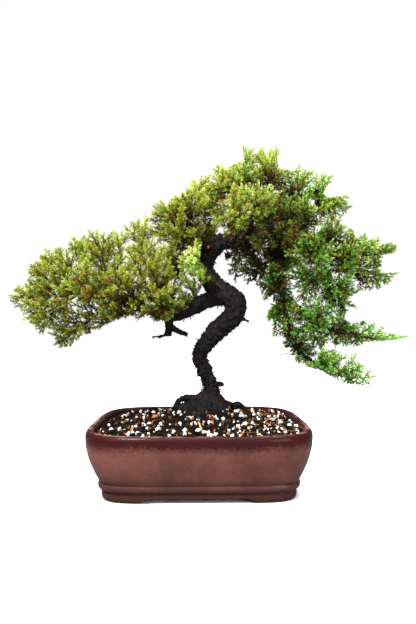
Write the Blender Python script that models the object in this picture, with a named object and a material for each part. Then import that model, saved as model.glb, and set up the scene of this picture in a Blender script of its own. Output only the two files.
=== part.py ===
"""Juniper bonsai in its pot: a glazed pot, two drainage screens, soil, one tree of wood and its
needle sprays. Sizes and places are in millimetres, measured from the middle of the pot's foot on the
table, and new_object turns them into metres."""

import math
import random

import bpy
import numpy as np
from mathutils import Vector
from mathutils.bvhtree import BVHTree

MM = 0.001
SEED = 11
GAP = 0.3  # clearance between touching pieces

# Pot
POT_LENGTH, POT_DEPTH, POT_HEIGHT = 255.0, 200.0, 72.0
POT_SIDES = 32
RIM_SQUARENESS, FOOT_SQUARENESS = 4.5, 7.0
END_DRAW, SIDE_DRAW = 1.15, 0.92  # how far an inset draws in the pot's ends and its long sides
WALL, FLOOR_TOP = 9.0, 12.0
FOOT_INSET, FOOT_HEIGHT, FOOT_THICKNESS = 17.0, 5.5, 16.0
WAIST_INSET, WAIST_HEIGHT = 14.2, 19.5
BULGE_HEIGHT, BULGE_CURVE, BULGE_STEPS = 66.0, 1.65, 4
# Inset from the rim's outline and height, up the foot band to the waist, over the lip, and down inside
FOOT_BAND = [(FOOT_INSET + 4, 0), (FOOT_INSET + 0.5, 2), (FOOT_INSET, 10), (13.6, 14)]
LIP = [(0.6, POT_HEIGHT - 4), (2.4, POT_HEIGHT - 0.8), (4.6, POT_HEIGHT), (7.4, POT_HEIGHT - 1.2)]
INSIDE = [
    (WALL, POT_HEIGHT - 5),
    (WALL + 2, 44),
    (WALL + 7, 26),
    (WALL + 16, FLOOR_TOP + 2),
    (WALL + 20, FLOOR_TOP),
]
FOOT_GAP_FRONT = (50.0, 68.0)  # half widths of the gap between two feet, at its top and at the table
FOOT_GAP_SIDE = (32.0, 48.0)
UNDERCUT = 1.5  # how far the cuts between the feet reach past the table
DRAIN_RADIUS, DRAIN_PLACE = 9.0, 62.0
SCREEN_SIZE, SCREEN_THICKNESS, SCREEN_HOLE, SCREEN_PITCH = 30.0, 1.2, 8.0, 11.0

# Soil
SOIL_EDGE, SOIL_RISE, SOIL_SPREAD, SOIL_CLEAR = 66.0, 21.0, 56.0, 0.8
SOIL_RINGS = (1.0, 0.76, 0.5, 0.26)
RIPPLE = (0.8, 9.0, 7.0)  # height, and length along x and y
GRAINS, GRAIN_SIZE, GRAIN_SPREAD, GRAIN_STRAY = 20, (2.6, 4.2), (0.9, 0.88), 3.0
ROOT_CLEAR = 7.0  # least gap between a grain and a root
HOLE_CLEAR, HOLE_DEEPER = 1.6 * GAP, 1.0  # room round a root in its hole, and below its end

# Wood: every limb is a smooth path of (x, y, z, radius)
TRUNK = [
    (13, 15, 60, 14),
    (13, 15, 78, 21),
    (13, 15, 93, 18.5),
    (14, 14, 104, 10.8),
    (13, 13, 115, 8.6),
    (7, 12, 128, 8.8),
    (0.5, 10, 144, 8.5),
    (3.5, 8, 157, 9.2),
    (20, 5, 178, 11.2),
    (40, 2, 196, 12.6),
    (44, 0, 212, 12.2),
    (34, 2, 224, 12),
    (18, 6, 236, 12),
    (7, 8, 256, 10.6),
    (10, 8, 274, 11.3),
    (24, 6, 288, 10.5),
    (48, 3, 296, 9.5),
    (74, 0, 302, 8.5),
    (97, 0, 307, 9),
]
LIMBS = {
    "left": [
        (34, 2, 222, 10),
        (8, 0, 216, 9.5),
        (-18, -2, 204, 9),
        (-40, -3, 199, 7.5),
        (-68, -4, 208, 5.5),
        (-104, -5, 220, 4.2),
        (-142, -4, 228, 3.2),
        (-172, -2, 230, 1.8),
    ],
    "shoulder": [(12, 8, 276, 7), (-4, 13, 294, 5.5), (-24, 16, 312, 4), (-40, 14, 322, 1.8)],
    "crown": [(40, 4, 294, 6), (42, 10, 322, 4.6), (48, 9, 350, 3.6), (55, 6, 376, 1.8)],
    "top": [(78, 0, 303, 5.5), (82, -4, 332, 4.2), (86, -4, 360, 3.2), (89, 0, 382, 1.8)],
    "corner": [(96, 0, 308, 6), (114, 5, 332, 4.5), (134, 4, 350, 3.2), (150, 2, 356, 1.8)],
    "right": [
        (94, 0, 307, 8),
        (118, 0, 300, 6.5),
        (138, 0, 284, 4.8),
        (160, -2, 276, 3.8),
        (182, -3, 260, 3),
        (204, -2, 238, 1.8),
    ],
    "reach": [(158, -2, 277, 4), (184, 2, 282, 3), (212, 2, 284, 1.8)],
    "middle": [(134, 0, 287, 4), (146, -4, 262, 3), (156, -6, 234, 2.5), (166, -4, 208, 1.8)],
    "hang": [
        (93, 0, 304, 7),
        (92, 0, 270, 6),
        (93, 0, 242, 4.8),
        (106, -2, 222, 3.8),
        (134, -4, 198, 3.1),
        (158, -4, 182, 2.5),
        (196, -2, 175, 1.8),
    ],
    "low": [(102, -1, 226, 3.4), (108, 2, 196, 2.8), (116, 3, 164, 2.4), (138, 2, 142, 2.1), (166, 2, 131, 1.8)],
    "back_left": [(10, 9, 268, 5.5), (-6, 38, 276, 4), (-24, 62, 280, 1.8)],
    "back_right": [(84, 0, 304, 6), (96, 30, 306, 4.5), (108, 58, 298, 1.8)],
    "front": [(62, 0, 298, 5), (60, -28, 306, 3.8), (58, -52, 308, 1.8)],
    "front_right": [(112, 0, 300, 5), (124, -26, 292, 3.8), (134, -50, 276, 1.8)],
}
ROOTS = [
    [
        (10, 14, 92, 12),
        (-5, 13, 94, 6),
        (-16, 12, 96, 3.8),
        (-24, 12, 94, 3.4),
        (-29, 12, 87, 3.2),
        (-33, 12, 72, 2.6),
    ],
    [
        (12, 16, 92, 13),
        (-2, 15, 85, 12),
        (-14, 14, 81, 10),
        (-24, 13, 77, 7.5),
        (-33, 12, 66, 4),
    ],
    [
        (16, 14, 98, 8),
        (27, 13, 91, 5.4),
        (38, 12, 87, 3.8),
        (50, 12, 87, 3.3),
        (57, 12, 81, 3),
        (60, 12, 70, 2.4),
    ],
    [(12, 12, 92, 11), (6, -5, 84, 8), (-2, -22, 77, 5), (-7, -36, 69, 3.4), (-9, -44, 60, 2.4)],
    [(15, 12, 92, 10), (27, -3, 83, 7), (37, -15, 76, 4.4), (45, -26, 64, 2.6)],
    [(14, 18, 92, 11), (20, 34, 84, 7.5), (28, 50, 75, 4.6), (34, 62, 64, 2.6)],
    [(11, 18, 92, 10), (-4, 32, 84, 7), (-16, 45, 74, 4.2), (-23, 54, 62, 2.6)],
]
DEAD_WOOD = [
    [(-38, -3, 199, 5.5), (-38, -2, 186, 4.4), (-37, -2, 173, 3.4)],
    [(-38, -2, 178, 2.6), (-47, -1, 173, 1.7), (-58, 0, 172, 1.2)],
    [(-37, -2, 187, 3.4), (-26, -3, 179, 3), (-14, -3, 174, 2.6)],
    [(13, 13, 113, 4), (24, 11, 113, 3), (31, 10, 112, 2.6)],
    [(42, 2, 196, 4), (56, 2, 193, 2), (61, 2, 190, 1.4)],
]
TRUNK_SIDES, LIMB_SIDES, ROOT_SIDES, TWIG_SIDES = 8, 5, 5, 3
TRUNK_STEPS, LIMB_STEPS, ROOT_STEPS, TWIG_SPANS, BARK_RELIEF = 2, 1, 1, 2, 0.08
TWIG_RADIUS, STEM_RADIUS, TIP_RADIUS = 2.0, 1.35, 0.8
TWIG_LEAD = 0.45  # how far before its nearest place a twig leaves its limb, as a share of its length
TWIG_SAG, TWIG_SWAY = 0.12, 0.02

# Sprays: the limb that carries each one and the place of its furthest tip
SPRAYS = [
    ("left", -231, -4, 222),
    ("left", -216, 16, 256),
    ("left", -188, -8, 280),
    ("left", -174, -14, 163),
    ("left", -205, -34, 192),
    ("left", -159, 12, 296),
    ("left", -125, -12, 302),
    ("left", -85, 20, 314),
    ("left", -124, -40, 195),
    ("left", -99, -54, 250),
    ("left", -46, -50, 226),
    ("left", -148, -46, 251),
    ("left", -63, -42, 284),
    ("left", -146, 58, 244),
    ("hang", 32, 24, 274),
    ("left", -12, -38, 277),
    ("back_left", -53, 76, 280),
    ("back_left", 5, 72, 319),
    ("shoulder", -55, 0, 337),
    ("shoulder", -16, -14, 355),
    ("shoulder", -42, -46, 303),
    ("shoulder", -38, 42, 351),
    ("crown", 14, 0, 374),
    ("crown", 57, 0, 408),
    ("crown", 34, 34, 392),
    ("crown", -3, 30, 365),
    ("front", 22, -58, 326),
    ("front", 65, -66, 346),
    ("top", 76, -20, 397),
    ("top", 97, 8, 407),
    ("corner", 126, 4, 388),
    ("corner", 161, -2, 371),
    ("corner", 183, -6, 340),
    ("corner", 150, 46, 347),
    ("back_right", 105, 66, 352),
    ("back_right", 147, 72, 266),
    ("front_right", 129, -58, 321),
    ("front_right", 143, -62, 258),
    ("reach", 244, 0, 287),
    ("reach", 216, 22, 300),
    ("right", 246, -4, 251),
    ("right", 200, -36, 262),
    ("right", 181, -20, 297),
    ("middle", 184, -22, 222),
    ("middle", 118, -36, 225),
    ("hang", 256, 0, 173),
    ("hang", 75, -10, 220),
    ("hang", 213, 24, 191),
    ("hang", 149, -40, 190),
    ("hang", 47, 8, 248),
    ("hang", 146, -12, 158),
    ("low", 220, 0, 124),
    ("low", 92, 0, 180),
    ("low", 166, -22, 124),
    ("low", 130, 12, 150),
]
SPRAY_REACH, SPRAY_SHARE = 60.0, 0.7  # longest leafy end, and its share of the way from limb to tip
SIDE_SHOOTS, SIDE_LENGTH, SIDE_ANGLE, SIDE_LIFT = 4, (31.0, 21.0), 48.0, 0.12
BARE_SPANS = 3  # spans of a leader's inner half, where its side shoots grow
WHORL, NEEDLE, NEEDLE_ANGLE, TIP_NEEDLE = 7.7, 6.0, 42.0, 4.8
NEEDLE_REACH = TIP_RADIUS + NEEDLE * math.sin(math.radians(NEEDLE_ANGLE))
CLEAR = 0.6  # least gap kept between the beads of two nodes
TRIES = 24

# Looks: colour, roughness and metallic value
POT_FINISH = ((0.17, 0.045, 0.035), 0.25, 0.0)
SCREEN_FINISH = ((0.05, 0.05, 0.05), 0.5, 0.0)
SOIL_FINISH = ((0.06, 0.045, 0.035), 0.9, 0.0)
WOOD_FINISH = ((0.022, 0.016, 0.014), 0.85, 0.0)
OLIVE, GREEN, NEEDLE_ROUGHNESS = (0.28, 0.32, 0.07), (0.08, 0.22, 0.05), 0.55
OLIVE_UNTIL, GREEN_FROM = -60.0, 140.0  # where the foliage's colour turns, along x

UP = Vector((0, 0, 1))
WOOD_OWNER = -1


# Objects, materials and Boolean steps


def clear_scene():
    """Removes what the scene holds."""
    for item in list(bpy.data.objects):
        bpy.data.objects.remove(item)


def paint(thing, name, colour, roughness, metallic):
    """Gives an object one plain Principled material of its own."""
    material = bpy.data.materials.new(name)
    material.use_nodes = True
    shader = material.node_tree.nodes["Principled BSDF"]
    shader.inputs["Base Color"].default_value = (*colour, 1)
    shader.inputs["Roughness"].default_value = roughness
    shader.inputs["Metallic"].default_value = metallic
    material.diffuse_color = (*colour, 1)
    thing.data.materials.clear()
    thing.data.materials.append(material)
    for face in thing.data.polygons:
        face.material_index = 0


def new_object(name, solid, collection=None):
    """An object in metres from a solid, which is its corners in millimetres and its faces."""
    corners, faces = solid
    mesh = bpy.data.meshes.new(name)
    mesh.from_pydata([Vector(corner) * MM for corner in corners], [], faces)
    thing = bpy.data.objects.new(name, mesh)
    (collection or bpy.context.scene.collection).objects.link(thing)
    return thing


def combine(thing, solids, operation, solver="EXACT"):
    """Joins solids to an object, or cuts them from it, by one Boolean that is then applied."""
    tools = bpy.data.collections.new("tools")
    bpy.context.scene.collection.children.link(tools)
    for number, solid in enumerate(solids):
        tool = new_object(f"tool_{number}", solid, tools)
        tool.hide_render = True
        tool.display_type = "WIRE"
    step = thing.modifiers.new("combine", "BOOLEAN")
    step.operation = operation
    step.solver = solver
    step.operand_type = "COLLECTION"
    step.collection = tools
    apply_modifiers(thing)
    for tool in list(tools.objects):
        bpy.data.objects.remove(tool)
    bpy.data.collections.remove(tools)


def apply_modifiers(thing):
    """Keeps an object's evaluated mesh as its own."""
    bpy.context.view_layer.update()
    evaluated = thing.evaluated_get(bpy.context.evaluated_depsgraph_get())
    mesh = bpy.data.meshes.new_from_object(evaluated)
    thing.modifiers.clear()
    thing.data = mesh


# Solids


def ring_faces(rings, sides):
    """Faces of a closed skin over rings of corners, with a flat face at each end."""
    faces = [list(range(sides))[::-1]]
    for ring in range(rings - 1):
        for side in range(sides):
            here, after = ring * sides + side, ring * sides + (side + 1) % sides
            faces.append([here, after, after + sides])
            faces.append([here, after + sides, here + sides])
    faces.append(list(range((rings - 1) * sides, rings * sides)))
    return faces


def rounded_ring(inset, height, squareness):
    """Corners of a level ring: the pot's outline, drawn in by inset, with bowed sides."""
    half_length, half_depth = POT_LENGTH / 2 - inset * END_DRAW, POT_DEPTH / 2 - inset * SIDE_DRAW
    corners = []
    for side in range(POT_SIDES):
        angle = 2 * math.pi * (side + 0.5) / POT_SIDES
        along, across = math.cos(angle), math.sin(angle)
        stretch = (abs(along) ** squareness + abs(across) ** squareness) ** (-1 / squareness)
        corners.append((half_length * along * stretch, half_depth * across * stretch, height))
    return corners


def prism(outline, start, length, axis):
    """A straight bar along x (axis 0) or y (axis 1), from an outline of (across, height)."""
    corners = []
    for place in (start, start + length):
        for across, height in outline:
            corners.append((place, across, height) if axis == 0 else (-across, place, height))
    return corners, ring_faces(2, len(outline))


def box(low, high):
    """A box between two corners."""
    outline = [(low[1], low[2]), (high[1], low[2]), (high[1], high[2]), (low[1], high[2])]
    return prism(outline, low[0], high[0] - low[0], 0)


def cylinder(x, y, bottom, top, radius, sides=16):
    """An upright cylinder."""
    corners = []
    for height in (bottom, top):
        for side in range(sides):
            angle = 2 * math.pi * side / sides
            corners.append((x + radius * math.cos(angle), y + radius * math.sin(angle), height))
    return corners, ring_faces(2, sides)


def smooth_path(points, steps):
    """A smooth curve through points of (x, y, z, radius), with steps spans between neighbours."""
    points = np.array(points, float)
    ends = np.vstack([2 * points[0] - points[1], points, 2 * points[-1] - points[-2]])
    path = []
    for index in range(1, len(ends) - 2):
        before, here, after, later = ends[index - 1 : index + 3]
        for step in range(steps):
            t = step / steps
            bend = 2 * before - 5 * here + 4 * after - later
            twist = 3 * (here - after) + later - before
            path.append(here + 0.5 * t * ((after - before) + t * (bend + t * twist)))
    path.append(points[-1])
    return np.array(path)


def frames(path, side=None):
    """The forward, side and third direction at each point of a path, with the least twist."""
    places = [Vector(point[:3]) for point in path]
    if side is None:
        side = (places[1] - places[0]).orthogonal()
    found = []
    for index in range(len(places)):
        ahead = places[min(index + 1, len(places) - 1)] - places[max(index - 1, 0)]
        forward = ahead.normalized()
        side = (side - forward * side.dot(forward)).normalized()
        found.append((forward, side, forward.cross(side)))
    return found


def tube(path, sides, relief=0.0, grow=0.0):
    """A closed tube along a path of (x, y, z, radius), with relief as a share of its radius."""
    corners = []
    for row, (point, (_, side, third)) in enumerate(zip(path, frames(path))):
        for number in range(sides):
            angle = 2 * math.pi * number / sides
            ridge = 1 + relief * math.sin(3 * angle + 1.7 * row) * math.cos(2.3 * row + number)
            radius = point[3] * ridge + grow
            corners.append(Vector(point[:3]) + (side * math.cos(angle) + third * math.sin(angle)) * radius)
    return corners, ring_faces(len(path), sides)


def grow_stem(corners, faces, ring, path, bare):
    """Grows a slim stem out of a ring of three corners, each new ring a sixth of a turn on, with a
    whorl of three needles on each span past the bare ones, and a needle at its tip. Gives back the
    places in faces of its plain faces, each with the stem's direction there."""
    plain = []
    directions = frames(path, corners[ring[0]] - Vector(path[0][:3]))
    for row in range(1, len(path)):
        forward, side, third = directions[row]
        above = list(range(len(corners), len(corners) + 3))
        for number in range(3):
            angle = math.pi * (2 * number + row) / 3
            outward = side * math.cos(angle) + third * math.sin(angle)
            corners.append(Vector(path[row][:3]) + outward * path[row][3])
        for number in range(3):
            following = (number + 1) % 3
            if row <= bare:
                plain += [(len(faces), forward), (len(faces) + 1, forward)]
                faces.append([ring[number], ring[following], above[number]])
            else:
                add_needle(corners, faces, [ring[number], ring[following], above[number]], forward)
            faces.append([above[number], ring[following], above[following]])
        ring = above
    corners.append(Vector(path[-1][:3]) + directions[-1][0] * TIP_NEEDLE)
    faces += [[ring[number], ring[(number + 1) % 3], len(corners) - 1] for number in range(3)]
    return plain


def add_needle(corners, faces, base, forward):
    """Raises a three-sided needle on one face of a stem, leaning forward."""
    first, second, third = (corners[index] for index in base)
    outward = (second - first).cross(third - first).normalized()
    outward = (outward - forward * outward.dot(forward)).normalized()
    lean = math.radians(NEEDLE_ANGLE)
    middle = (first + second + third) / 3
    corners.append(middle + (forward * math.cos(lean) + outward * math.sin(lean)) * NEEDLE)
    tip = len(corners) - 1
    faces += [[base[0], base[1], tip], [base[1], base[2], tip], [base[2], base[0], tip]]


# Pot, screens and soil


def outer_wall():
    """(inset, height) up the outside, from the waist over the bulging wall."""
    rows = []
    for step in range(BULGE_STEPS + 1):
        rise = step / BULGE_STEPS
        height = WAIST_HEIGHT + (BULGE_HEIGHT - WAIST_HEIGHT) * rise
        rows.append((WAIST_INSET * (1 - rise) ** BULGE_CURVE, height))
    return rows


def squareness_at(height):
    """How square the outline is at a height: squarer at the foot than at the rim."""
    share = min(1.0, height / BULGE_HEIGHT)
    return FOOT_SQUARENESS + (RIM_SQUARENESS - FOOT_SQUARENESS) * share


def foot_cutters():
    """What is cut away under the pot to leave four feet bent round its corners."""
    cutters = []
    gaps = ((1, FOOT_GAP_FRONT, POT_DEPTH, FOOT_HEIGHT), (0, FOOT_GAP_SIDE, POT_LENGTH, FOOT_HEIGHT - 0.5))
    for axis, (top, bottom), span, height in gaps:
        outline = [(-bottom, -UNDERCUT), (bottom, -UNDERCUT), (top, height), (-top, height)]
        cutters.append(prism(outline, -span, 2 * span, axis))
    across = POT_LENGTH / 2 - FOOT_INSET - FOOT_THICKNESS
    deep = POT_DEPTH / 2 - FOOT_INSET - FOOT_THICKNESS
    cutters.append(box((-across, -deep, -2 * UNDERCUT), (across, deep, FOOT_HEIGHT + 0.5)))
    return cutters


def build_pot():
    """The glazed pot, with its feet and its two drainage holes."""
    rows = FOOT_BAND + outer_wall() + LIP + INSIDE
    corners = []
    for inset, height in rows:
        corners += rounded_ring(inset, height, squareness_at(height))
    pot = new_object("pot", (corners, ring_faces(len(rows), POT_SIDES)))
    for cutter in foot_cutters():
        combine(pot, [cutter], "DIFFERENCE")
    drains = [cylinder(place, 0, -1, FLOOR_TOP + 1, DRAIN_RADIUS) for place in (-DRAIN_PLACE, DRAIN_PLACE)]
    combine(pot, drains, "DIFFERENCE", "MANIFOLD")
    paint(pot, "pot_glaze", *POT_FINISH)
    return pot


def screen_place(middle, margin=0.0):
    """The lowest and highest corner of the screen over a drainage hole."""
    half = SCREEN_SIZE / 2 + margin
    bottom = FLOOR_TOP + GAP
    return (middle - half, -half, bottom - margin), (middle + half, half, bottom + SCREEN_THICKNESS + margin)


def build_screen(name, middle):
    """A small plate with four square holes."""
    screen = new_object(name, box(*screen_place(middle)))
    holes = []
    for column in (-0.5, 0.5):
        for row in (-0.5, 0.5):
            across = middle + column * SCREEN_PITCH - SCREEN_HOLE / 2
            low = (across, row * SCREEN_PITCH - SCREEN_HOLE / 2, FLOOR_TOP - 1)
            high = (low[0] + SCREEN_HOLE, low[1] + SCREEN_HOLE, FLOOR_TOP + 4)
            holes.append(box(low, high))
    combine(screen, holes, "DIFFERENCE")
    paint(screen, name + "_finish", *SCREEN_FINISH)
    return screen


def soil_height(x, y):
    """The soil's surface: level at the pot's wall, and mounded towards the trunk."""
    away = math.hypot(x - TRUNK[0][0], y - TRUNK[0][1])
    ripple = RIPPLE[0] * math.sin(x / RIPPLE[1]) * math.cos(y / RIPPLE[2])
    return SOIL_EDGE + SOIL_RISE * math.exp(-((away / SOIL_SPREAD) ** 2)) + ripple


def soil_body():
    """Corners and faces of the soil: rings up the pot's inner wall, then in over the mound."""
    corners, rings = [], 0
    for inset, height in INSIDE[:0:-1]:
        lift = GAP if height == FLOOR_TOP else 0.0
        corners += rounded_ring(inset + SOIL_CLEAR, height + lift, squareness_at(height))
        rings += 1
    edge = rounded_ring(WALL + SOIL_CLEAR, SOIL_EDGE, squareness_at(SOIL_EDGE))
    for share in SOIL_RINGS:
        for x, y, _ in edge:
            along = TRUNK[0][0] + (x - TRUNK[0][0]) * share
            deep = TRUNK[0][1] + (y - TRUNK[0][1]) * share
            corners.append((along, deep, soil_height(along, deep)))
        rings += 1
    return corners, ring_faces(rings, POT_SIDES)


def grain(draws, x, y):
    """An eight-sided grain, half sunk in the soil."""
    size = draws.uniform(*GRAIN_SIZE)
    turn = draws.uniform(0, math.pi / 2)
    middle = Vector((x, y, soil_height(x, y) + 0.15 * size))
    corners = []
    for number in range(4):
        angle = turn + number * math.pi / 2
        radius = size * draws.uniform(0.75, 1.15)
        lift = size * draws.uniform(-0.2, 0.3)
        corners.append(middle + Vector((math.cos(angle) * radius, math.sin(angle) * radius, lift)))
    corners += [middle + UP * size * draws.uniform(0.6, 0.9), middle - UP * size]
    faces = []
    for number in range(4):
        following = (number + 1) % 4
        faces += [[number, following, 4], [following, number, 5]]
    return corners, faces


def grains(draws):
    """Grains spread evenly over the soil by a sunflower rule, clear of the wall and the roots."""
    found = []
    rooted = np.vstack([smooth_path(root, 4) for root in ROOTS])
    for number in range(GRAINS):
        share = math.sqrt((number + 0.5) / GRAINS)
        angle = number * math.pi * (3 - math.sqrt(5))
        x = GRAIN_SPREAD[0] * (POT_LENGTH / 2 - WALL) * share * math.cos(angle)
        y = GRAIN_SPREAD[1] * (POT_DEPTH / 2 - WALL) * share * math.sin(angle)
        x += draws.uniform(-GRAIN_STRAY, GRAIN_STRAY)
        y += draws.uniform(-GRAIN_STRAY, GRAIN_STRAY)
        place = np.array([x, y, soil_height(x, y)])
        if np.min(np.linalg.norm(rooted[:, :3] - place, axis=1) - rooted[:, 3]) > ROOT_CLEAR:
            found.append(grain(draws, x, y))
    return found


def build_soil():
    """The filled soil body with grains on it, and plain holes for the trunk's foot and the roots."""
    soil = new_object("soil", soil_body())
    combine(soil, grains(random.Random(SEED)), "UNION", "MANIFOLD")
    holes = [tube(path, sides, relief, HOLE_CLEAR) for path, sides, relief in rooted_tubes(HOLE_DEEPER)]
    combine(soil, holes, "DIFFERENCE", "MANIFOLD")
    recesses = [box(*screen_place(place, 1.5 * GAP)) for place in (-DRAIN_PLACE, DRAIN_PLACE)]
    combine(soil, recesses, "DIFFERENCE")
    paint(soil, "soil_finish", *SOIL_FINISH)
    return soil


# Wood


def rooted_tubes(deeper=0.0):
    """(path, sides, relief) of the trunk and the roots, whose lowest ends may reach deeper."""
    found = []
    trunk = smooth_path(TRUNK, TRUNK_STEPS)
    lengthen(trunk, 0, 1, deeper)
    found.append((trunk, TRUNK_SIDES, BARK_RELIEF))
    for points in ROOTS:
        root = smooth_path(points, ROOT_STEPS)
        lengthen(root, -1, -2, deeper)
        found.append((root, ROOT_SIDES, BARK_RELIEF))
    return found


def lengthen(path, end, before, length):
    """Moves the end of a path further along its own direction."""
    ahead = path[end, :3] - path[before, :3]
    path[end, :3] += ahead / np.linalg.norm(ahead) * length


def limb_paths():
    """The smooth path of every limb, by name."""
    return {name: smooth_path(points, LIMB_STEPS) for name, points in LIMBS.items()}


def build_wood(twigs):
    """Trunk, roots, limbs, dead wood and twigs, joined as the one piece that grew."""
    (trunk_path, trunk_sides, relief), *roots = rooted_tubes()
    wood = new_object("wood", tube(trunk_path, trunk_sides, relief))
    grown = [tube(*root) for root in roots]
    grown += [tube(path, LIMB_SIDES, BARK_RELIEF) for path in limb_paths().values()]
    grown += [tube(smooth_path(points, LIMB_STEPS), 4) for points in DEAD_WOOD]
    grown += [tube(twig, TWIG_SIDES) for twig in twigs]
    combine(wood, grown, "UNION", "MANIFOLD")
    paint(wood, "bark", *WOOD_FINISH)
    return wood


# Sprays


class Room:
    """Beads strung along every twig and shoot, which keep the pieces of different nodes apart."""

    def __init__(self):
        self.places = np.zeros((0, 3))
        self.radii = np.zeros(0)
        self.owners = np.zeros(0, int)

    def clearance(self, beads, radius, owner):
        """The least gap between new beads and those of other owners."""
        others = self.owners != owner
        if not others.any():
            return math.inf
        apart = np.linalg.norm(beads[:, None] - self.places[others][None], axis=2)
        return float((apart - self.radii[others]).min() - radius)

    def add(self, beads, radius, owner):
        """Takes the room that new beads fill."""
        self.places = np.vstack([self.places, beads])
        self.radii = np.concatenate([self.radii, np.broadcast_to(radius, len(beads))])
        self.owners = np.concatenate([self.owners, np.full(len(beads), owner)])


def bow(start, middle, end, t):
    """A point on the curve that leaves start for middle and arrives at end."""
    return start * (1 - t) ** 2 + middle * 2 * t * (1 - t) + end * t**2


def bow_points(start, middle, end, first, last, spans):
    """Points along part of a bow."""
    shares = np.linspace(first, last, spans + 1)
    return np.array([bow(start, middle, end, share) for share in shares])


def twig_start(path, tip):
    """Where a twig leaves its limb: a little before the limb's nearest place to the tip."""
    nearest = int(np.argmin(np.linalg.norm(path[:, :3] - tip, axis=1)))
    lead = TWIG_LEAD * np.linalg.norm(path[nearest, :3] - tip)
    back = nearest
    while back > 0 and np.linalg.norm(path[back, :3] - path[nearest, :3]) < lead:
        back -= 1
    return path[back, :3]


def lay_leaders(room, draws):
    """(start, middle, tip, share at which the leaves begin) of every spray, bent clear of the rest."""
    paths = limb_paths()
    found = []
    for owner, (limb, *tip) in enumerate(SPRAYS):
        tip = np.array(tip, float)
        start = twig_start(paths[limb], tip)
        length = np.linalg.norm(tip - start)
        begins = 1 - min(SPRAY_SHARE, SPRAY_REACH / length)
        best = None
        for attempt in range(TRIES):
            sway = np.array([draws.uniform(-1, 1) for _ in range(3)]) * length * TWIG_SWAY * attempt
            middle = (start + tip) / 2 + np.array([0, 0, -TWIG_SAG * length]) + sway
            leafy = bow_points(start, middle, tip, begins, 1, 16)
            woody = bow_points(start, middle, tip, 0.1, begins, 10)
            clear = room.clearance(leafy, NEEDLE_REACH, owner)
            clear = min(clear, leaf_clearance(room, woody, owner))
            if best is None or clear > best[0]:
                best = (clear, middle, leafy, woody)
            if clear > CLEAR:
                break
        clear, middle, leafy, woody = best
        room.add(leafy, NEEDLE_REACH, owner)
        room.add(woody, TWIG_RADIUS, WOOD_OWNER)
        found.append((start, middle, tip, begins))
    return found


def leaf_clearance(room, beads, owner):
    """The least gap between a new twig and the leafy shoots of the other sprays."""
    leafy = (room.owners != WOOD_OWNER) & (room.owners != owner)
    if not leafy.any():
        return math.inf
    apart = np.linalg.norm(beads[:, None] - room.places[leafy][None], axis=2)
    return float((apart - room.radii[leafy]).min() - TWIG_RADIUS)


def with_radius(points, first, last):
    """Adds a radius to the points of a path, from first to last."""
    return np.column_stack([points, np.linspace(first, last, len(points))])


def leader(curve):
    """The spray's own stem, leafy over its outer half: its solid, and its plain faces."""
    start, middle, tip, begins = curve
    reach = np.linalg.norm(tip - bow(start, middle, tip, begins))
    leafy = max(2, round(reach / 2 / WHORL))
    halfway = (begins + 1) / 2
    inner = bow_points(start, middle, tip, begins, halfway, BARE_SPANS)
    outer = bow_points(start, middle, tip, halfway, 1, leafy)
    path = with_radius(np.vstack([inner, outer[1:]]), STEM_RADIUS, TIP_RADIUS)
    _, side, third = frames(path)[0]
    corners = []
    for number in range(3):
        angle = 2 * math.pi * number / 3
        corners.append(Vector(path[0][:3]) + (side * math.cos(angle) + third * math.sin(angle)) * STEM_RADIUS)
    faces = [[2, 1, 0]]
    plain = grow_stem(corners, faces, [0, 1, 2], path, BARE_SPANS)
    return corners, faces, plain


def side_path(corners, base, forward, length):
    """Path of a side shoot that grows out of one face of a leader, leaning forward and lifting."""
    first, second, third = (corners[index] for index in base)
    outward = (second - first).cross(third - first)
    outward = (outward - forward * outward.dot(forward)).normalized()
    lean = math.radians(SIDE_ANGLE)
    heading = np.array(forward * math.cos(lean) + outward * math.sin(lean))
    steps = np.linspace(0, 1, max(3, round(length / WHORL)) + 1)[:, None]
    root = np.array((first + second + third) / 3)
    path = root + heading * length * steps + np.array(UP) * SIDE_LIFT * length * steps**2
    return with_radius(path, TIP_RADIUS * 1.1, TIP_RADIUS)


def crosses_itself(corners, faces):
    """Whether any two triangles of a skin cross, told from copies drawn in a little."""
    loose, triangles = [], []
    for face in faces:
        middle = sum((corners[index] for index in face), Vector()) / 3
        triangles.append(list(range(len(loose), len(loose) + 3)))
        loose += [corners[index].lerp(middle, 0.02) for index in face]
    tree = BVHTree.FromPolygons(loose, triangles)
    return any(first != second for first, second in tree.overlap(tree))


def add_side_shoots(room, owner, draws, corners, faces, plain):
    """Grows side shoots out of a leader's plain faces, each where it stands furthest from the rest."""
    tips = [corners[-1]]
    for number in range(SIDE_SHOOTS):
        share = number / (SIDE_SHOOTS - 1)
        choices = []
        for place, forward in plain:
            length = (SIDE_LENGTH[0] + (SIDE_LENGTH[1] - SIDE_LENGTH[0]) * share) * draws.uniform(0.85, 1.1)
            path = side_path(corners, faces[place], forward, length)
            beads = np.vstack([path[1:, :3], (path[:-1, :3] + path[1:, :3]) / 2])
            if room.clearance(beads, NEEDLE_REACH, owner) > CLEAR:
                apart = min((Vector(path[-1][:3]) - tip).length for tip in tips)
                choices.append((apart, place, path, beads))
        for apart, place, path, beads in sorted(choices, key=lambda choice: -choice[0]):
            base = faces[place]
            trial_corners, trial_faces = list(corners), faces[:place] + faces[place + 1 :]
            grow_stem(trial_corners, trial_faces, base, path, 1)
            if not crosses_itself(trial_corners, trial_faces):
                corners[:], faces[:] = trial_corners, trial_faces
                used = set(base)
                plain = [(at - (at > place), forward) for at, forward in plain if at != place]
                plain = [(at, forward) for at, forward in plain if len(used & set(faces[at])) < 2]
                tips.append(Vector(path[-1][:3]))
                room.add(beads, NEEDLE_REACH, owner)
                break


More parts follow.
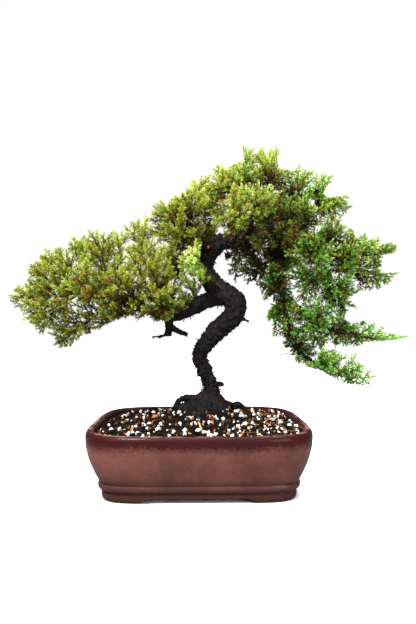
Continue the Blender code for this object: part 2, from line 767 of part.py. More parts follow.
def build_spray(name, owner, curve, room, draws):
    """One leafy spray: its leader, with side shoots and needles raised from its faces."""
    corners, faces, plain = leader(curve)
    add_side_shoots(room, owner, draws, corners, faces, plain)
    spray = new_object(name, (corners, faces))
    share = min(1.0, max(0.0, (curve[2][0] - OLIVE_UNTIL) / (GREEN_FROM - OLIVE_UNTIL)))
    colour = tuple(a + (b - a) * share for a, b in zip(OLIVE, GREEN))
    paint(spray, name + "_needles", colour, NEEDLE_ROUGHNESS, 0.0)
    return spray


def build_tree():
    """The wood and every spray."""
    draws = random.Random(SEED)
    room = Room()
    for path in [smooth_path(TRUNK, 4)] + [smooth_path(points, 6) for points in LIMBS.values()]:
        for point in path:
            room.add(point[None, :3], point[3], WOOD_OWNER)
    curves = lay_leaders(room, draws)
    twigs = []
    for start, middle, tip, begins in curves:
        length = np.linalg.norm(tip - start)
        path = bow_points(start, middle, tip, 0, begins - GAP / length, TWIG_SPANS)
        twigs.append(with_radius(path, TWIG_RADIUS, STEM_RADIUS))
    wood = build_wood(twigs)
    sprays = []
    for owner, curve in enumerate(curves):
        name = f"spray_{owner + 1:02d}_{SPRAYS[owner][0]}"
        sprays.append(build_spray(name, owner, curve, room, draws))
    return [wood] + sprays


def centre_on_origin(things):
    """Parents everything to an empty that puts the middle of the whole part over the origin."""
    corners = [vertex.co for thing in things for vertex in thing.data.vertices]
    low = [min(corner[axis] for corner in corners) for axis in range(2)]
    high = [max(corner[axis] for corner in corners) for axis in range(2)]
    origin = bpy.data.objects.new("bonsai", None)
    bpy.context.scene.collection.objects.link(origin)
    origin.location = (-(low[0] + high[0]) / 2, -(low[1] + high[1]) / 2, 0)
    for thing in things:
        thing.parent = origin


def main():
    clear_scene()
    things = [build_pot()]
    things.append(build_screen("screen_left", -DRAIN_PLACE))
    things.append(build_screen("screen_right", DRAIN_PLACE))
    things.append(build_soil())
    things += build_tree()
    centre_on_origin(things)


main()
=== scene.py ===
"""Looks of the juniper bonsai: glazed pot, gritty soil, dark flaky wood and fine needle sprays, with a
white floor, soft light and the camera. Sizes and places are in millimetres from the middle of the
pot's foot, as on the solids, and are turned into metres where a mesh is made."""

import math
import random

import bmesh
import bpy
import numpy as np
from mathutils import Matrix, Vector, noise


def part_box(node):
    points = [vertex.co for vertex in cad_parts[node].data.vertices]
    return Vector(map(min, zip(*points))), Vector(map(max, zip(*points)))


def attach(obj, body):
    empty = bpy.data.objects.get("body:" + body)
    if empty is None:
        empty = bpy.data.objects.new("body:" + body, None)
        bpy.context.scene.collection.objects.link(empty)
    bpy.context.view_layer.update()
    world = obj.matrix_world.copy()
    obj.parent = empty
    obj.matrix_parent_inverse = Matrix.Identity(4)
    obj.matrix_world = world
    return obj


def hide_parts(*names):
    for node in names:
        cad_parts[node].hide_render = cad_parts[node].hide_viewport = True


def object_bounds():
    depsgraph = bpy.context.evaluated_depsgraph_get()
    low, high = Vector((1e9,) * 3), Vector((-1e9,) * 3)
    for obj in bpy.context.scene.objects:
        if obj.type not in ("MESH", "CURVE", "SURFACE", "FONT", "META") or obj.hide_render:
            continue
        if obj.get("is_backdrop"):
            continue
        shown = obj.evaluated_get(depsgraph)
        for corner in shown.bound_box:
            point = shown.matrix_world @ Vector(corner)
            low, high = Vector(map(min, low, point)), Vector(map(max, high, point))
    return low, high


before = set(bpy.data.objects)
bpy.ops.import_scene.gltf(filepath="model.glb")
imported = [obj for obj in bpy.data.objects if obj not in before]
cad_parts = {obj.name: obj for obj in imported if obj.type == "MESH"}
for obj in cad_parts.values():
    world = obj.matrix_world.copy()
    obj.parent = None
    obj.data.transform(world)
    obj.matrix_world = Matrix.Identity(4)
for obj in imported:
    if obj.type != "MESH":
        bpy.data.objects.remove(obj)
CAD_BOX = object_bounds()

MM = 0.001
SEED = 11
GOLDEN = math.pi * (3 - math.sqrt(5))
ASIDE, ASLANT = (0.3, 0.2, 0.93), (0.31, 0.52, 0.17)  # directions that no tube and no shoot runs along

# Pot, as on the solids
POT_LENGTH, POT_DEPTH, POT_HEIGHT = 255.0, 200.0, 72.0
RIM_SQUARENESS, FOOT_SQUARENESS = 4.5, 7.0
END_DRAW, SIDE_DRAW = 1.15, 0.92  # how far an inset draws in the pot's ends and its long sides
WALL, FLOOR_TOP = 9.0, 12.0
FOOT_INSET, FOOT_HEIGHT, FOOT_THICKNESS = 17.0, 5.5, 16.0
WAIST_INSET, WAIST_HEIGHT = 14.2, 19.5
BULGE_HEIGHT, BULGE_CURVE, BULGE_STEPS = 66.0, 1.65, 14
FOOT_BAND = [
    (FOOT_INSET + 4, 0),
    (FOOT_INSET + 1.6, 0.5),
    (FOOT_INSET + 0.5, 2),
    (FOOT_INSET, 4),
    (FOOT_INSET, 8.6),
    (FOOT_INSET + 0.3, 9.6),
    (FOOT_INSET - 0.3, 10.4),
    (15.2, 11.4),
    (14.0, 12.8),
    (13.6, 14.5),
    (13.8, 16.4),
    (14.7, 17.8),
    (14.9, 18.7),
]
LIP = [
    (0.2, POT_HEIGHT - 5),
    (0.9, POT_HEIGHT - 2.6),
    (2.1, POT_HEIGHT - 0.9),
    (3.6, POT_HEIGHT - 0.15),
    (5.2, POT_HEIGHT),
    (6.8, POT_HEIGHT - 0.6),
    (8.1, POT_HEIGHT - 2),
    (8.8, POT_HEIGHT - 4),
]
INSIDE = [
    (WALL, 66),
    (WALL + 0.6, 58),
    (WALL + 2, 44),
    (WALL + 7, 26),
    (WALL + 16, 14),
    (WALL + 20, FLOOR_TOP),
]
FOOT_GAP_FRONT, FOOT_GAP_SIDE = (50.0, 68.0), (32.0, 48.0)  # half widths at a gap's top and bottom
SIDE_GAP_LOWER, HOLLOW_HIGHER = 0.5, 0.5  # the gaps at the sides, and the hollow behind the feet
UNDERCUT, PAST = 1.5, 1.0  # how far the cutters of the feet and the drains pass the pot
DRAIN_RADIUS, DRAIN_PLACE, DRAIN_SIDES = 9.0, 62.0, 32
POT_SIDES, SHARP_EDGE = 144, 50.0  # sides of its skin, and the angle in degrees from which an edge looks sharp
# Heights in metres, where the glaze's dark band fades in, where painted shade darkens its foot, and where its
# lip is rubbed pale, partly as wear and partly as a painted highlight
BAND_EDGE, FOOT_PAINTED_SHADE, LIP_WEAR_AND_HIGHLIGHT = (0.0545, 0.0625), (0.030, 0.012), (0.0712, 0.0719)

# Soil, as on the solids, with its grains
SOIL_EDGE, SOIL_RISE, SOIL_SPREAD, SOIL_CLEAR = 66.0, 21.0, 56.0, 0.8
RIPPLE = (0.8, 9.0, 7.0)  # its height, and its spacing along and across the pot
SOIL_SIDES, SOIL_RINGS, SOIL_DEPTH = 128, 34, 9.0
PEAT_LUMPS, PEAT_FINENESS = 1.5, 0.35  # height and fineness of the peat's lumps
PERLITE, PERLITE_SIZE, PERLITE_SHAPE, PERLITE_LUMPS = 365, (1.0, 2.8), (1.15, 0.9, 0.7), 0.24
BARK_BITS, BARK_BIT_SIZE, BARK_BIT_SHAPE, BARK_BIT_LUMPS = 430, (1.2, 2.7), (1.3, 0.75, 0.4), 0.2
CHIPS, CHIP_SIZE, CHIP_SHAPE, CHIP_LUMPS = 18, (1.6, 2.4), (3.2, 0.7, 0.35), 0.15
GRIT, GRIT_SIZE, GRIT_SHAPE, GRIT_LUMPS = 1300, (1.3, 3.0), (1.1, 0.9, 0.7), 0.25
GRAIN_STRETCH, GRAIN_RISE = (0.7, 1.25), (0.1, 0.7)  # how they vary in shape, and stand out of the soil
# The chance of a grain at a place, and what changes it: patches, the way to the right, the trunk
GRAIN_CHANCE, PATCHY, THICKER_RIGHT, THINNER_INSIDE = 0.45, 1.3, 0.25, 0.5
PATCH = 14.0  # size of the patches that the grains lie in
TRUNK_CLEAR = 30.0  # how far from the trunk the grains grow sparse
# Gaps to the pot's wall, and the squareness of the rootlets' area
GRAIN_MARGIN, ROOTLET_MARGIN, ROOTLET_AREA = 3.0, 2.0, 3.5
ROOTLETS, ROOTLET_POINTS, ROOTLET_SIDES = 70, 8, 5
ROOTLET_LENGTH, ROOTLET_BEND, ROOTLET_TONE = (7.0, 20.0), 1.5, (0.2, 1.0)
ROOTLET_RADIUS, ROOTLET_END = (0.35, 0.6), 0.15
ROOTLET_REST, ROOTLET_ARCH = 1.2, (0.2, 1.6)  # how high its ends lie, and its middle above them

# Wood, as on the solids: smooth paths of (x, y, z, radius)
TRUNK = [
    (13, 15, 60, 14),
    (13, 15, 78, 21),
    (13, 15, 93, 18.5),
    (14, 14, 104, 10.8),
    (13, 13, 115, 8.6),
    (7, 12, 128, 8.8),
    (0.5, 10, 144, 8.5),
    (3.5, 8, 157, 9.2),
    (20, 5, 178, 11.2),
    (40, 2, 196, 12.6),
    (44, 0, 212, 12.2),
    (34, 2, 224, 12),
    (18, 6, 236, 12),
    (7, 8, 256, 10.6),
    (10, 8, 274, 11.3),
    (24, 6, 288, 10.5),
    (48, 3, 296, 9.5),
    (74, 0, 302, 8.5),
    (97, 0, 307, 9),
]
LIMBS = {
    "left": [
        (34, 2, 222, 10),
        (8, 0, 216, 9.5),
        (-18, -2, 204, 9),
        (-40, -3, 199, 7.5),
        (-68, -4, 208, 5.5),
        (-104, -5, 220, 4.2),
        (-142, -4, 228, 3.2),
        (-172, -2, 230, 1.8),
    ],
    "shoulder": [(12, 8, 276, 7), (-4, 13, 294, 5.5), (-24, 16, 312, 4), (-40, 14, 322, 1.8)],
    "crown": [(40, 4, 294, 6), (42, 10, 322, 4.6), (48, 9, 350, 3.6), (55, 6, 376, 1.8)],
    "top": [(78, 0, 303, 5.5), (82, -4, 332, 4.2), (86, -4, 360, 3.2), (89, 0, 382, 1.8)],
    "corner": [(96, 0, 308, 6), (114, 5, 332, 4.5), (134, 4, 350, 3.2), (150, 2, 356, 1.8)],
    "right": [
        (94, 0, 307, 8),
        (118, 0, 300, 6.5),
        (138, 0, 284, 4.8),
        (160, -2, 276, 3.8),
        (182, -3, 260, 3),
        (204, -2, 238, 1.8),
    ],
    "reach": [(158, -2, 277, 4), (184, 2, 282, 3), (212, 2, 284, 1.8)],
    "middle": [(134, 0, 287, 4), (146, -4, 262, 3), (156, -6, 234, 2.5), (166, -4, 208, 1.8)],
    "hang": [
        (93, 0, 304, 7),
        (92, 0, 270, 6),
        (93, 0, 242, 4.8),
        (106, -2, 222, 3.8),
        (134, -4, 198, 3.1),
        (158, -4, 182, 2.5),
        (196, -2, 175, 1.8),
    ],
    "low": [
        (102, -1, 226, 3.4),
        (108, 2, 196, 2.8),
        (116, 3, 164, 2.4),
        (138, 2, 142, 2.1),
        (166, 2, 131, 1.8),
    ],
    "back_left": [(10, 9, 268, 5.5), (-6, 38, 276, 4), (-24, 62, 280, 1.8)],
    "back_right": [(84, 0, 304, 6), (96, 30, 306, 4.5), (108, 58, 298, 1.8)],
    "front": [(62, 0, 298, 5), (60, -28, 306, 3.8), (58, -52, 308, 1.8)],
    "front_right": [(112, 0, 300, 5), (124, -26, 292, 3.8), (134, -50, 276, 1.8)],
}
ROOTS = [
    [
        (10, 14, 92, 12),
        (-5, 13, 94, 6),
        (-16, 12, 96, 3.8),
        (-24, 12, 94, 3.4),
        (-29, 12, 87, 3.2),
        (-33, 12, 72, 2.6),
    ],
    [(12, 16, 92, 13), (-2, 15, 85, 12), (-14, 14, 81, 10), (-24, 13, 77, 7.5), (-33, 12, 66, 4)],
    [
        (16, 14, 98, 8),
        (27, 13, 91, 5.4),
        (38, 12, 87, 3.8),
        (50, 12, 87, 3.3),
        (57, 12, 81, 3),
        (60, 12, 70, 2.4),
    ],
    [(12, 12, 92, 11), (6, -5, 84, 8), (-2, -22, 77, 5), (-7, -36, 69, 3.4), (-9, -44, 60, 2.4)],
    [(15, 12, 92, 10), (27, -3, 83, 7), (37, -15, 76, 4.4), (45, -26, 64, 2.6)],
    [(14, 18, 92, 11), (20, 34, 84, 7.5), (28, 50, 75, 4.6), (34, 62, 64, 2.6)],
    [(11, 18, 92, 10), (-4, 32, 84, 7), (-16, 45, 74, 4.2), (-23, 54, 62, 2.6)],
]
DEAD_WOOD = [
    [(-38, -3, 199, 5.5), (-38, -2, 186, 4.4), (-37, -2, 173, 3.4)],
    [(-38, -2, 178, 2.6), (-47, -1, 173, 1.7), (-58, 0, 172, 1.2)],
    [(-37, -2, 187, 3.4), (-26, -3, 179, 3), (-14, -3, 174, 2.6)],
    [(13, 13, 113, 4), (24, 11, 113, 3), (31, 10, 112, 2.6)],
    [(42, 2, 196, 4), (56, 2, 193, 2), (61, 2, 190, 1.4)],
]
TWIG_RADIUS, STEM_RADIUS, TIP_RADIUS = 2.0, 1.35, 0.8
TWIG_LEAD, TWIG_SAG, TWIG_SWAY = 0.45, 0.12, 0.02
TWIG_SPANS, TWIG_SIDES, TWIG_TONE = 12, 7, 0.7
THIN_SIDES = 3  # sides of old twigs, stubs and stems
TRUNK_STEPS, LIMB_STEPS = 9, 14
TRUNK_SIDES, ROOT_SIDES, LIMB_SIDES = 44, 20, 16
TRUNK_RELIEF, ROOT_RELIEF, LIMB_RELIEF = 2.2, 1.2, 0.2  # in millimetres, and for limbs by their radius
PLATE_ACROSS, PLATE_ALONG, PLATE_DEPTH = 0.33, 0.11, 1.5  # the flaky plates' fineness and their relief
FLAKE_FINER, FLAKE_DEPTH, FLAKE_PLACE = 2.6, 0.9, (7, 3, 1)
BARK_VOXEL, BARK_ROUGHNESS = 1.5, 1.6
BARK_COARSE, BARK_FINE, BARK_FINE_SHARE = 260, 600, 0.6  # its roughness, in features per metre
STUBS, STUB_LENGTH, STUB_RADIUS, STUB_TONE = 900, (1.0, 4.0), (0.6, 1.3), (0.0, 0.35)
# How stubs lean along the limb, droop and start in it
STUB_LEAN, STUB_DROOP, STUB_SUNK = (-0.3, 0.9), (-0.2, 0.3), 0.8
STUB_STEPS, STUBS_FROM = 8, 14  # points of a limb between neighbours, and of the trunk's foot without any
STUB_LONGER = 0.2  # how much longer a stub grows with the radius of its limb
SCARS, SCAR_DEPTH, SCAR_RADIUS = [(103, -10, 287), (11, -5, 282)], 8.0, 1.9
SCAR_TAPER, SCAR_SIDES, SCAR_TONE = 0.85, 9, 0.5  # how much narrower the cut end is, and its skin
STRAY_TWIGS = 0.2  # share of the old twigs that may reach past the leaves' outline
BARE_TWIGS, BARE_TWIG_LENGTH, BARE_TWIG_RADIUS = 340, (12.0, 36.0), (0.5, 0.85)
# How old twigs hang, wander from step to step and grow thin
BARE_STEPS, BARE_DOWN, BARE_WANDER, BARE_TAPER = 6, 0.3, 0.3, 0.4
FORK_ROWS = (2, 5)  # from which of its points a twig forks
# Stretches of an old twig, each turned from the last, shorter and thinner
FORKS, FORK_TURN, FORK_LENGTH, FORK_RADIUS = (1, 4), 0.7, 0.6, 0.75
DENSER_FROM, DENSER = 60.0, 1.8  # the right side bears this much more old growth than the left

# Sprays, as on the solids: the limb that carries each one and the place of its furthest tip
SPRAYS = [
    ("left", -231, -4, 222),
    ("left", -216, 16, 256),
    ("left", -188, -8, 280),
    ("left", -174, -14, 163),
    ("left", -205, -34, 192),
    ("left", -159, 12, 296),
    ("left", -125, -12, 302),
    ("left", -85, 20, 314),
    ("left", -124, -40, 195),
    ("left", -99, -54, 250),
    ("left", -46, -50, 226),
    ("left", -148, -46, 251),
    ("left", -63, -42, 284),
    ("left", -146, 58, 244),
    ("hang", 32, 24, 274),
    ("left", -12, -38, 277),
    ("back_left", -53, 76, 280),
    ("back_left", 5, 72, 319),
    ("shoulder", -55, 0, 337),
    ("shoulder", -16, -14, 355),
    ("shoulder", -42, -46, 303),
    ("shoulder", -38, 42, 351),
    ("crown", 14, 0, 374),
    ("crown", 57, 0, 408),
    ("crown", 34, 34, 392),
    ("crown", -3, 30, 365),
    ("front", 22, -58, 326),
    ("front", 65, -66, 346),
    ("top", 76, -20, 397),
    ("top", 97, 8, 407),
    ("corner", 126, 4, 388),
    ("corner", 161, -2, 371),
    ("corner", 183, -6, 340),
    ("corner", 150, 46, 347),
    ("back_right", 105, 66, 352),
    ("back_right", 147, 72, 266),
    ("front_right", 129, -58, 321),
    ("front_right", 143, -62, 258),
    ("reach", 244, 0, 287),
    ("reach", 216, 22, 300),
    ("right", 246, -4, 251),
    ("right", 200, -36, 262),
    ("right", 181, -20, 297),
    ("middle", 184, -22, 222),
    ("middle", 118, -36, 225),
    ("hang", 256, 0, 173),
    ("hang", 75, -10, 220),
    ("hang", 213, 24, 191),
    ("hang", 149, -40, 190),
    ("hang", 47, 8, 248),
    ("hang", 146, -12, 158),
    ("low", 220, 0, 124),
    ("low", 92, 0, 180),
    ("low", 166, -22, 124),
    ("low", 130, 12, 150),
]
FIRST_GREEN = 28  # the first spray of the greener side
SPRAY_REACH, SPRAY_SHARE = 60.0, 0.7
SOLID_NEEDLE, SOLID_LEAN = 6.0, 42.0
NEEDLE_REACH = TIP_RADIUS + SOLID_NEEDLE * math.sin(math.radians(SOLID_LEAN))
CLEAR, TRIES = 0.6, 24  # the gap wished for between pieces, and how many bends are tried for it
# Steps of the beads that keep pieces apart, and where a twig's beads start
TRUNK_BEADS, LIMB_BEADS, LEAFY_BEADS, WOODY_BEADS, WOODY_FROM = 4, 6, 16, 10, 0.1
WOOD_OWNER = -1

# Fine foliage: sprays bear branchlets, which bear short shoots with whorls of three needles
# Length of a shoot, its bend and its whorls, each turned in radians from the one below
SHOOT, SHOOT_BEND, WHORLS, FIRST_WHORL, WHORL_TURN = 8.0, 0.08, 4, 0.3, 1.05
# Needles of a whorl, and how far each strays in its turn, lean and length
WHORL_NEEDLES, NEEDLE_SWAY, NEEDLE_LEANS, NEEDLE_SIZES = 3, 0.2, 7.0, (0.85, 1.15)
TIP_CLOSER, FOOT_LONGER, TIP_SHORTER = 0.55, 1.05, 0.35  # needles lean less and grow shorter to the tip
KEEL_PLACE, KEEL_HEIGHT = 0.4, 0.45  # where along a needle its keel is highest, and how high for its width
# How light a needle's corners are painted, dark at the foot as painted shade between the needles and pale at
# the tip as new growth and as a painted highlight, what the shoot's tip adds, and its stem
NEEDLE_TONES, TIP_TONE, FOOT_TONE = (0.0, 0.0, 0.35, 0.75), 0.25, 0.1
SHOOT_FOOT, SHOOT_FOOT_ANGLES = 0.5, (0, 2.1, 4.2)  # the three corners at a shoot's foot
OPEN_NEEDLE = (4.4, 1.45, 50.0)  # length, width and lean at the left of the tree
COMPACT_NEEDLE = (3.7, 1.45, 42.0)  # and at its right
OLD_NEEDLE, OLD_WHORLS = (5.4, 1.5, 58.0), 3  # and on the old growth inside
TEMPLATES = 10
BRANCHLETS, LONGEST_BRANCHLET, BRANCHLET_ANGLE, BRANCHLET_LEANS = 11, 30.0, (66.0, 32.0), 8.0
# How branchlets crowd to the tip, rise and curl up
BRANCHLET_OUT, BRANCHLET_LIFT, BRANCHLET_CURL = 0.9, 0.08, 0.1
# Their length: the least, how it grows with the way left to the tip, and how it varies
BRANCHLET_LEAST, BRANCHLET_REACH, BRANCHLET_LENGTHS = 3, 0.8, (0.75, 1.0)
TWIG_POINTS, TWIG_ENDS = 7, [3, 6]  # points of a branchlet or an old twig, and its middle and last one
CHOICES = 16  # places tried for each branchlet
FILLERS, FILLER_CHOICES = 440, 60  # branchlets laid last, wherever the front shows the widest gap
FILLER_DEPTH = 0.2  # how much an even spread in depth counts for them
SPINE_SPANS, INNERMOST, LAST_SHOOT = 24, 0.2, 0.8  # spans of a spray, and where its growth starts and ends
SPINE_TAKEN = slice(8, None, 4)  # the points of a spray that count as filled from the start
INNER_SHARE = 0.7  # how much of the bare twig before a spray's leafy end bears branchlets too
SHOOT_STEP, SHOOT_LENGTH, SHOOT_ANGLE, SHOOT_LIFT = 2.3, (9.5, 6.0), 44.0, 0.12
# Where shoots start on a branchlet, and how far they differ
FIRST_SHOOT, SHOOT_TURNS, SHOOT_LEANS, SHOOT_SIZES = 0.12, 0.5, 10.0, (0.6, 1.0)
SPIN = 6.28  # how far a shoot may be turned about itself
SHOOT_WIDE = 0.6  # how wide the shortest shoots are beside one of full length
SIDE_STEM, STEM_END, STEM_TONE, STEM_DEAD = 0.7, 0.4, 0.05, 0.55  # radii and tones of the stems
DEAD_SHARE, GREEN_DEAD, DEAD_TONES = 0.6, 0.35, (0.6, 1.0)  # dead inner shoots: left, right, how brown
DEAD_OLD, DEAD_BELOW = 0.35, 0.3  # how much old growth and hanging down add to it
GREEN_SPREAD, GREEN_VARIES = 0.25, 0.12  # how far branchlets, and the shoots on them, differ in greenness
FRESH_SPREAD, FRESH_VARIES = 0.12, 0.1  # and in freshness
LIT_FROM_ABOVE, BURIED_AGE_AND_SHADE = 0.15, 0.25  # upright shoots are painted lighter, as painted light from above, and buried ones darker, partly as older needles and partly as painted shade
OLD_REACH, OLD_AGE_AND_SHADE = 23.0, 0.62  # how near thick wood the leaves are old and in painted shade, and how much darker they are painted
THICK_WOOD, THICK_STEPS = 4.7, 4  # the radius from which wood counts as thick
# Where the leaves begin to be greener, and over how far
GREEN_FROM, GREEN_OVER, LOW_FROM, LOW_OVER, LOW_RIGHT = -10.0, 140.0, 270.0, 90.0, 60.0
GREEN_ACROSS, GREEN_LOW = 0.52, 0.48  # how much greener the leaves grow to the right, and low down there
CROWN_NEW_AND_LIT, CROWN_FROM, CROWN_FULL = 0.12, 300.0, 350.0  # leaves up there are painted lighter, partly as newer growth and partly as painted light from above
SPRAY_FRESH_AND_SHADE = {  # how much lighter or darker the leaves of some sprays are painted than the rest, as newer or older growth and as painted shade, such as on those under the trunk
    4: -0.12, 5: -0.06, 9: -0.14, 15: -0.25, 16: 0.38, 31: -0.05, 32: -0.05, 33: -0.05,
    46: 0.10, 47: -0.10, 50: -0.25, 52: 0.10, 54: 0.10,
}
GREENER = {16: 0.35}  # how much greener the leaves of some sprays are than their place says
LIFTED = {46: 18.0}  # how much higher than on the solids the bow of a spray bends
SPRIGS = [  # sprigs straight out of the wood: the spray each goes with, its root and its tip
    (16, (-8, -3, 208), (-6, -12, 240)),
    (50, (44, 2, 288), (45, 6, 246)),
    (8, (-100, -4, 222), (-96, 0, 296)),
    (21, (-34, 14, 316), (-58, 2, 297)),
    (8, (-70, -2, 208), (-76, 6, 316)),
    (33, (150, 2, 352), (184, 0, 326)),
    (44, (160, -5, 226), (194, -4, 207)),
    (20, (-2, 12, 300), (2, 6, 368)),
]
OLD_STEP, OLD_LENGTH, OLD_DEAD = 6.0, (6.0, 11.0), 0.55  # shoots along the old twigs
OLD_FROM, OLD_FRESH = 0.35, (-0.4, 0.0)  # where they start on a twig, and how fresh they are
# The share of its size by which leaves may pass the solids' box, and how far in branchlets' ends stay
BOX_ROOM, END_ROOM = 0.02, 6.0
SHORTENED, CUTS = 0.68, 3  # what each cut leaves of a shoot that passes the outline, and the most cuts
PRUNED = [  # the outline that the leaves are pruned to, as (x, z) on the tree's middle plane
    (-235, 222), (-222, 237), (-208, 242), (-212, 258), (-204, 265), (-198, 266), (-194, 285),
    (-181, 278), (-174, 284), (-165, 280), (-156, 298), (-148, 290), (-135, 310), (-125, 310),
    (-114, 296), (-98, 311), (-83, 315), (-69, 324), (-61, 319), (-57, 342), (-50, 343), (-40, 335),
    (-32, 348), (-24, 344), (-17, 363), (4, 376), (13, 375), (22, 390), (33, 382), (49, 390),
    (55, 390), (53, 413), (64, 406), (88, 413), (101, 408), (95, 390), (103, 382), (116, 380),
    (125, 391), (135, 379), (143, 380), (167, 376), (167, 367), (156, 358), (156, 346), (186, 348),
    (191, 335), (177, 321), (184, 309), (191, 305), (194, 295), (207, 302), (211, 292), (224, 300),
    (227, 288), (246, 291), (246, 275), (229, 275), (227, 263), (224, 249), (251, 252), (241, 240),
    (223, 231), (215, 228), (198, 229), (183, 217), (199, 215), (191, 207), (177, 200), (175, 195),
    (189, 190), (203, 193), (210, 187), (216, 192), (218, 181), (228, 185), (231, 178), (258, 173),
    (236, 168), (212, 165), (193, 160), (174, 160), (163, 163), (156, 162), (160, 155), (176, 155),
    (199, 152), (191, 144), (203, 138), (222, 124), (212, 112), (188, 113), (171, 116), (155, 128),
    (139, 134), (118, 141), (112, 153), (100, 165), (87, 175), (88, 185), (82, 199), (89, 211),
    (79, 217), (74, 230), (66, 242), (61, 236), (42, 238), (36, 250), (33, 262), (31, 278),
    (26, 290), (4, 292), (-3, 264), (13, 243), (2, 232), (-13, 209), (-43, 191), (-99, 194),
    (-111, 188), (-128, 178), (-145, 173), (-155, 161), (-180, 156), (-190, 169), (-204, 187),
    (-218, 194),
]
FRONT_WEIGHT = 2.5  # how much an even spread as seen from the front counts beside one in depth
FRONT_LAYER = 20.0  # how far back a branchlet may be to count as seen from the front

# Camera: the place and aim that give the pot's rim its outline in the picture
LENS_PIXELS, PICTURE_HEIGHT, SENSOR = 476.0, 624.0, 36.0
EYE_ACROSS, EYE_BACK, EYE_HEIGHT = 10.5, 585.0, 182.0
PITCH, TURN = math.radians(2.01), math.radians(-1.12)
SURROUND = 0.30  # strength of the white surround as a light
LAMPS = [  # name, place, target and width in metres, and power in watts
    ("key", (-0.6, -0.9, 1.4), (0, 0, 0.25), 0.5, 62),
    ("top", (0.3, 0.0, 1.7), (0, 0, 0.2), 1.0, 32),
    ("fill", (0.9, -1.2, 0.6), (0, 0, 0.15), 0.7, 10),
]
FLOOR_HALF, FLOOR_BELOW = 6.0, 0.0002  # in metres: half its width, and its gap under the feet
FLOOR_SQUARENESS = 6.0  # of the painted shadow under the pot
PAPER_GLOW, PAPER_PAINTED_SHADOW = 0.95, (0.99, 1.07)  # the floor's own white, and where it fades out into a painted shadow under the pot

EYE = np.array([
    EYE_ACROSS * math.cos(TURN) + EYE_BACK * math.sin(TURN),
    EYE_ACROSS * math.sin(TURN) - EYE_BACK * math.cos(TURN),
    EYE_HEIGHT,
])

low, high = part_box("pot")
MIDDLE = np.array([(low[0] + high[0]) / 2, (low[1] + high[1]) / 2, 0.0]) / MM
BEYOND = (np.array(CAD_BOX[1]) - np.array(CAD_BOX[0])) / MM * BOX_ROOM
LOWEST_LEAF = np.array(CAD_BOX[0]) / MM - MIDDLE - BEYOND
HIGHEST_LEAF = np.array(CAD_BOX[1]) / MM - MIDDLE + BEYOND


# Meshes


def new_piece(name, corners, triangles, material, shades=None, smooth=False):
    """A piece from arrays of corners in millimetres and of triangles, riding on the one body."""
    mesh = bpy.data.meshes.new(name)
    mesh.vertices.add(len(corners))
    mesh.vertices.foreach_set("co", ((corners + MIDDLE) * MM).astype(np.float32).ravel())
    mesh.loops.add(triangles.size)
    mesh.loops.foreach_set("vertex_index", triangles.astype(np.int32).ravel())
    mesh.polygons.add(len(triangles))
    mesh.polygons.foreach_set("loop_start", np.arange(0, triangles.size, 3, dtype=np.int32))
    mesh.update(calc_edges=True)
    if shades is not None:
        layer = mesh.attributes.new("shade", "FLOAT_COLOR", "POINT")
        layer.data.foreach_set("color", shades.astype(np.float32).ravel())
    piece = bpy.data.objects.new(name, mesh)
    bpy.context.scene.collection.objects.link(piece)
    return dress(piece, material, smooth)


def dress(piece, material, smooth=False):
    """Gives a piece its material and slot, and sets it on the body."""
    piece.data.materials.clear()
    piece.data.materials.append(material)
    piece.data.polygons.foreach_set("use_smooth", [smooth] * len(piece.data.polygons))
    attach(piece, "root")
    return piece


def ring_triangles(rings, sides):
    """Triangles of a closed skin over rings of corners, with a fan over each end."""
    here = np.arange((rings - 1) * sides)
    after = here // sides * sides + (here + 1) % sides
    lower = np.column_stack([here, after, after + sides])
    upper = np.column_stack([here, after + sides, here + sides])
    fan = np.arange(1, sides - 1)
    bottom = np.column_stack([np.zeros_like(fan), fan + 1, fan])
    top = np.column_stack([np.zeros_like(fan), fan, fan + 1]) + (rings - 1) * sides
    return np.vstack([lower, upper, bottom, top])


def gather(parts):
    """Joins (corners, triangles) or (corners, triangles, shades) parts into one."""
    starts = np.cumsum([0] + [len(part[0]) for part in parts[:-1]])
    corners = np.vstack([part[0] for part in parts])
    triangles = np.vstack([part[1] + start for part, start in zip(parts, starts)])
    if len(parts[0]) == 2:
        return corners, triangles
    return corners, triangles, np.vstack([part[2] for part in parts])


def smooth_path(points, steps):
    """A smooth curve through points, with steps spans between neighbours."""
    points = np.array(points, float)
    ends = np.vstack([2 * points[0] - points[1], points, 2 * points[-1] - points[-2]])
    path = []
    for index in range(1, len(ends) - 2):
        before, here, after, later = ends[index - 1 : index + 3]
        for step in range(steps):
            t = step / steps
            bend = 2 * before - 5 * here + 4 * after - later
            twist = 3 * (here - after) + later - before
            path.append(here + 0.5 * t * ((after - before) + t * (bend + t * twist)))
    path.append(points[-1])
    return np.array(path)


def limb_paths(steps):
    """Smooth paths of all the limbs."""
    return [smooth_path(points, steps) for points in LIMBS.values()]


def unit(vectors):
    """Vectors of length one."""
    return vectors / np.linalg.norm(vectors, axis=-1, keepdims=True)


def frames(path):
    """Forward, side and third directions along a path, with the least twist."""
    ahead = np.empty((len(path), 3))
    ahead[1:-1] = path[2:, :3] - path[:-2, :3]
    ahead[0] = path[1, :3] - path[0, :3]
    ahead[-1] = path[-1, :3] - path[-2, :3]
    ahead = unit(ahead)
    side = np.cross(ahead[0], ASIDE)
    sides = np.empty_like(ahead)
    for row, forward in enumerate(ahead):
        side = side - forward * side.dot(forward)
        side = side / np.linalg.norm(side)
        sides[row] = side
    return ahead, sides, np.cross(ahead, sides)


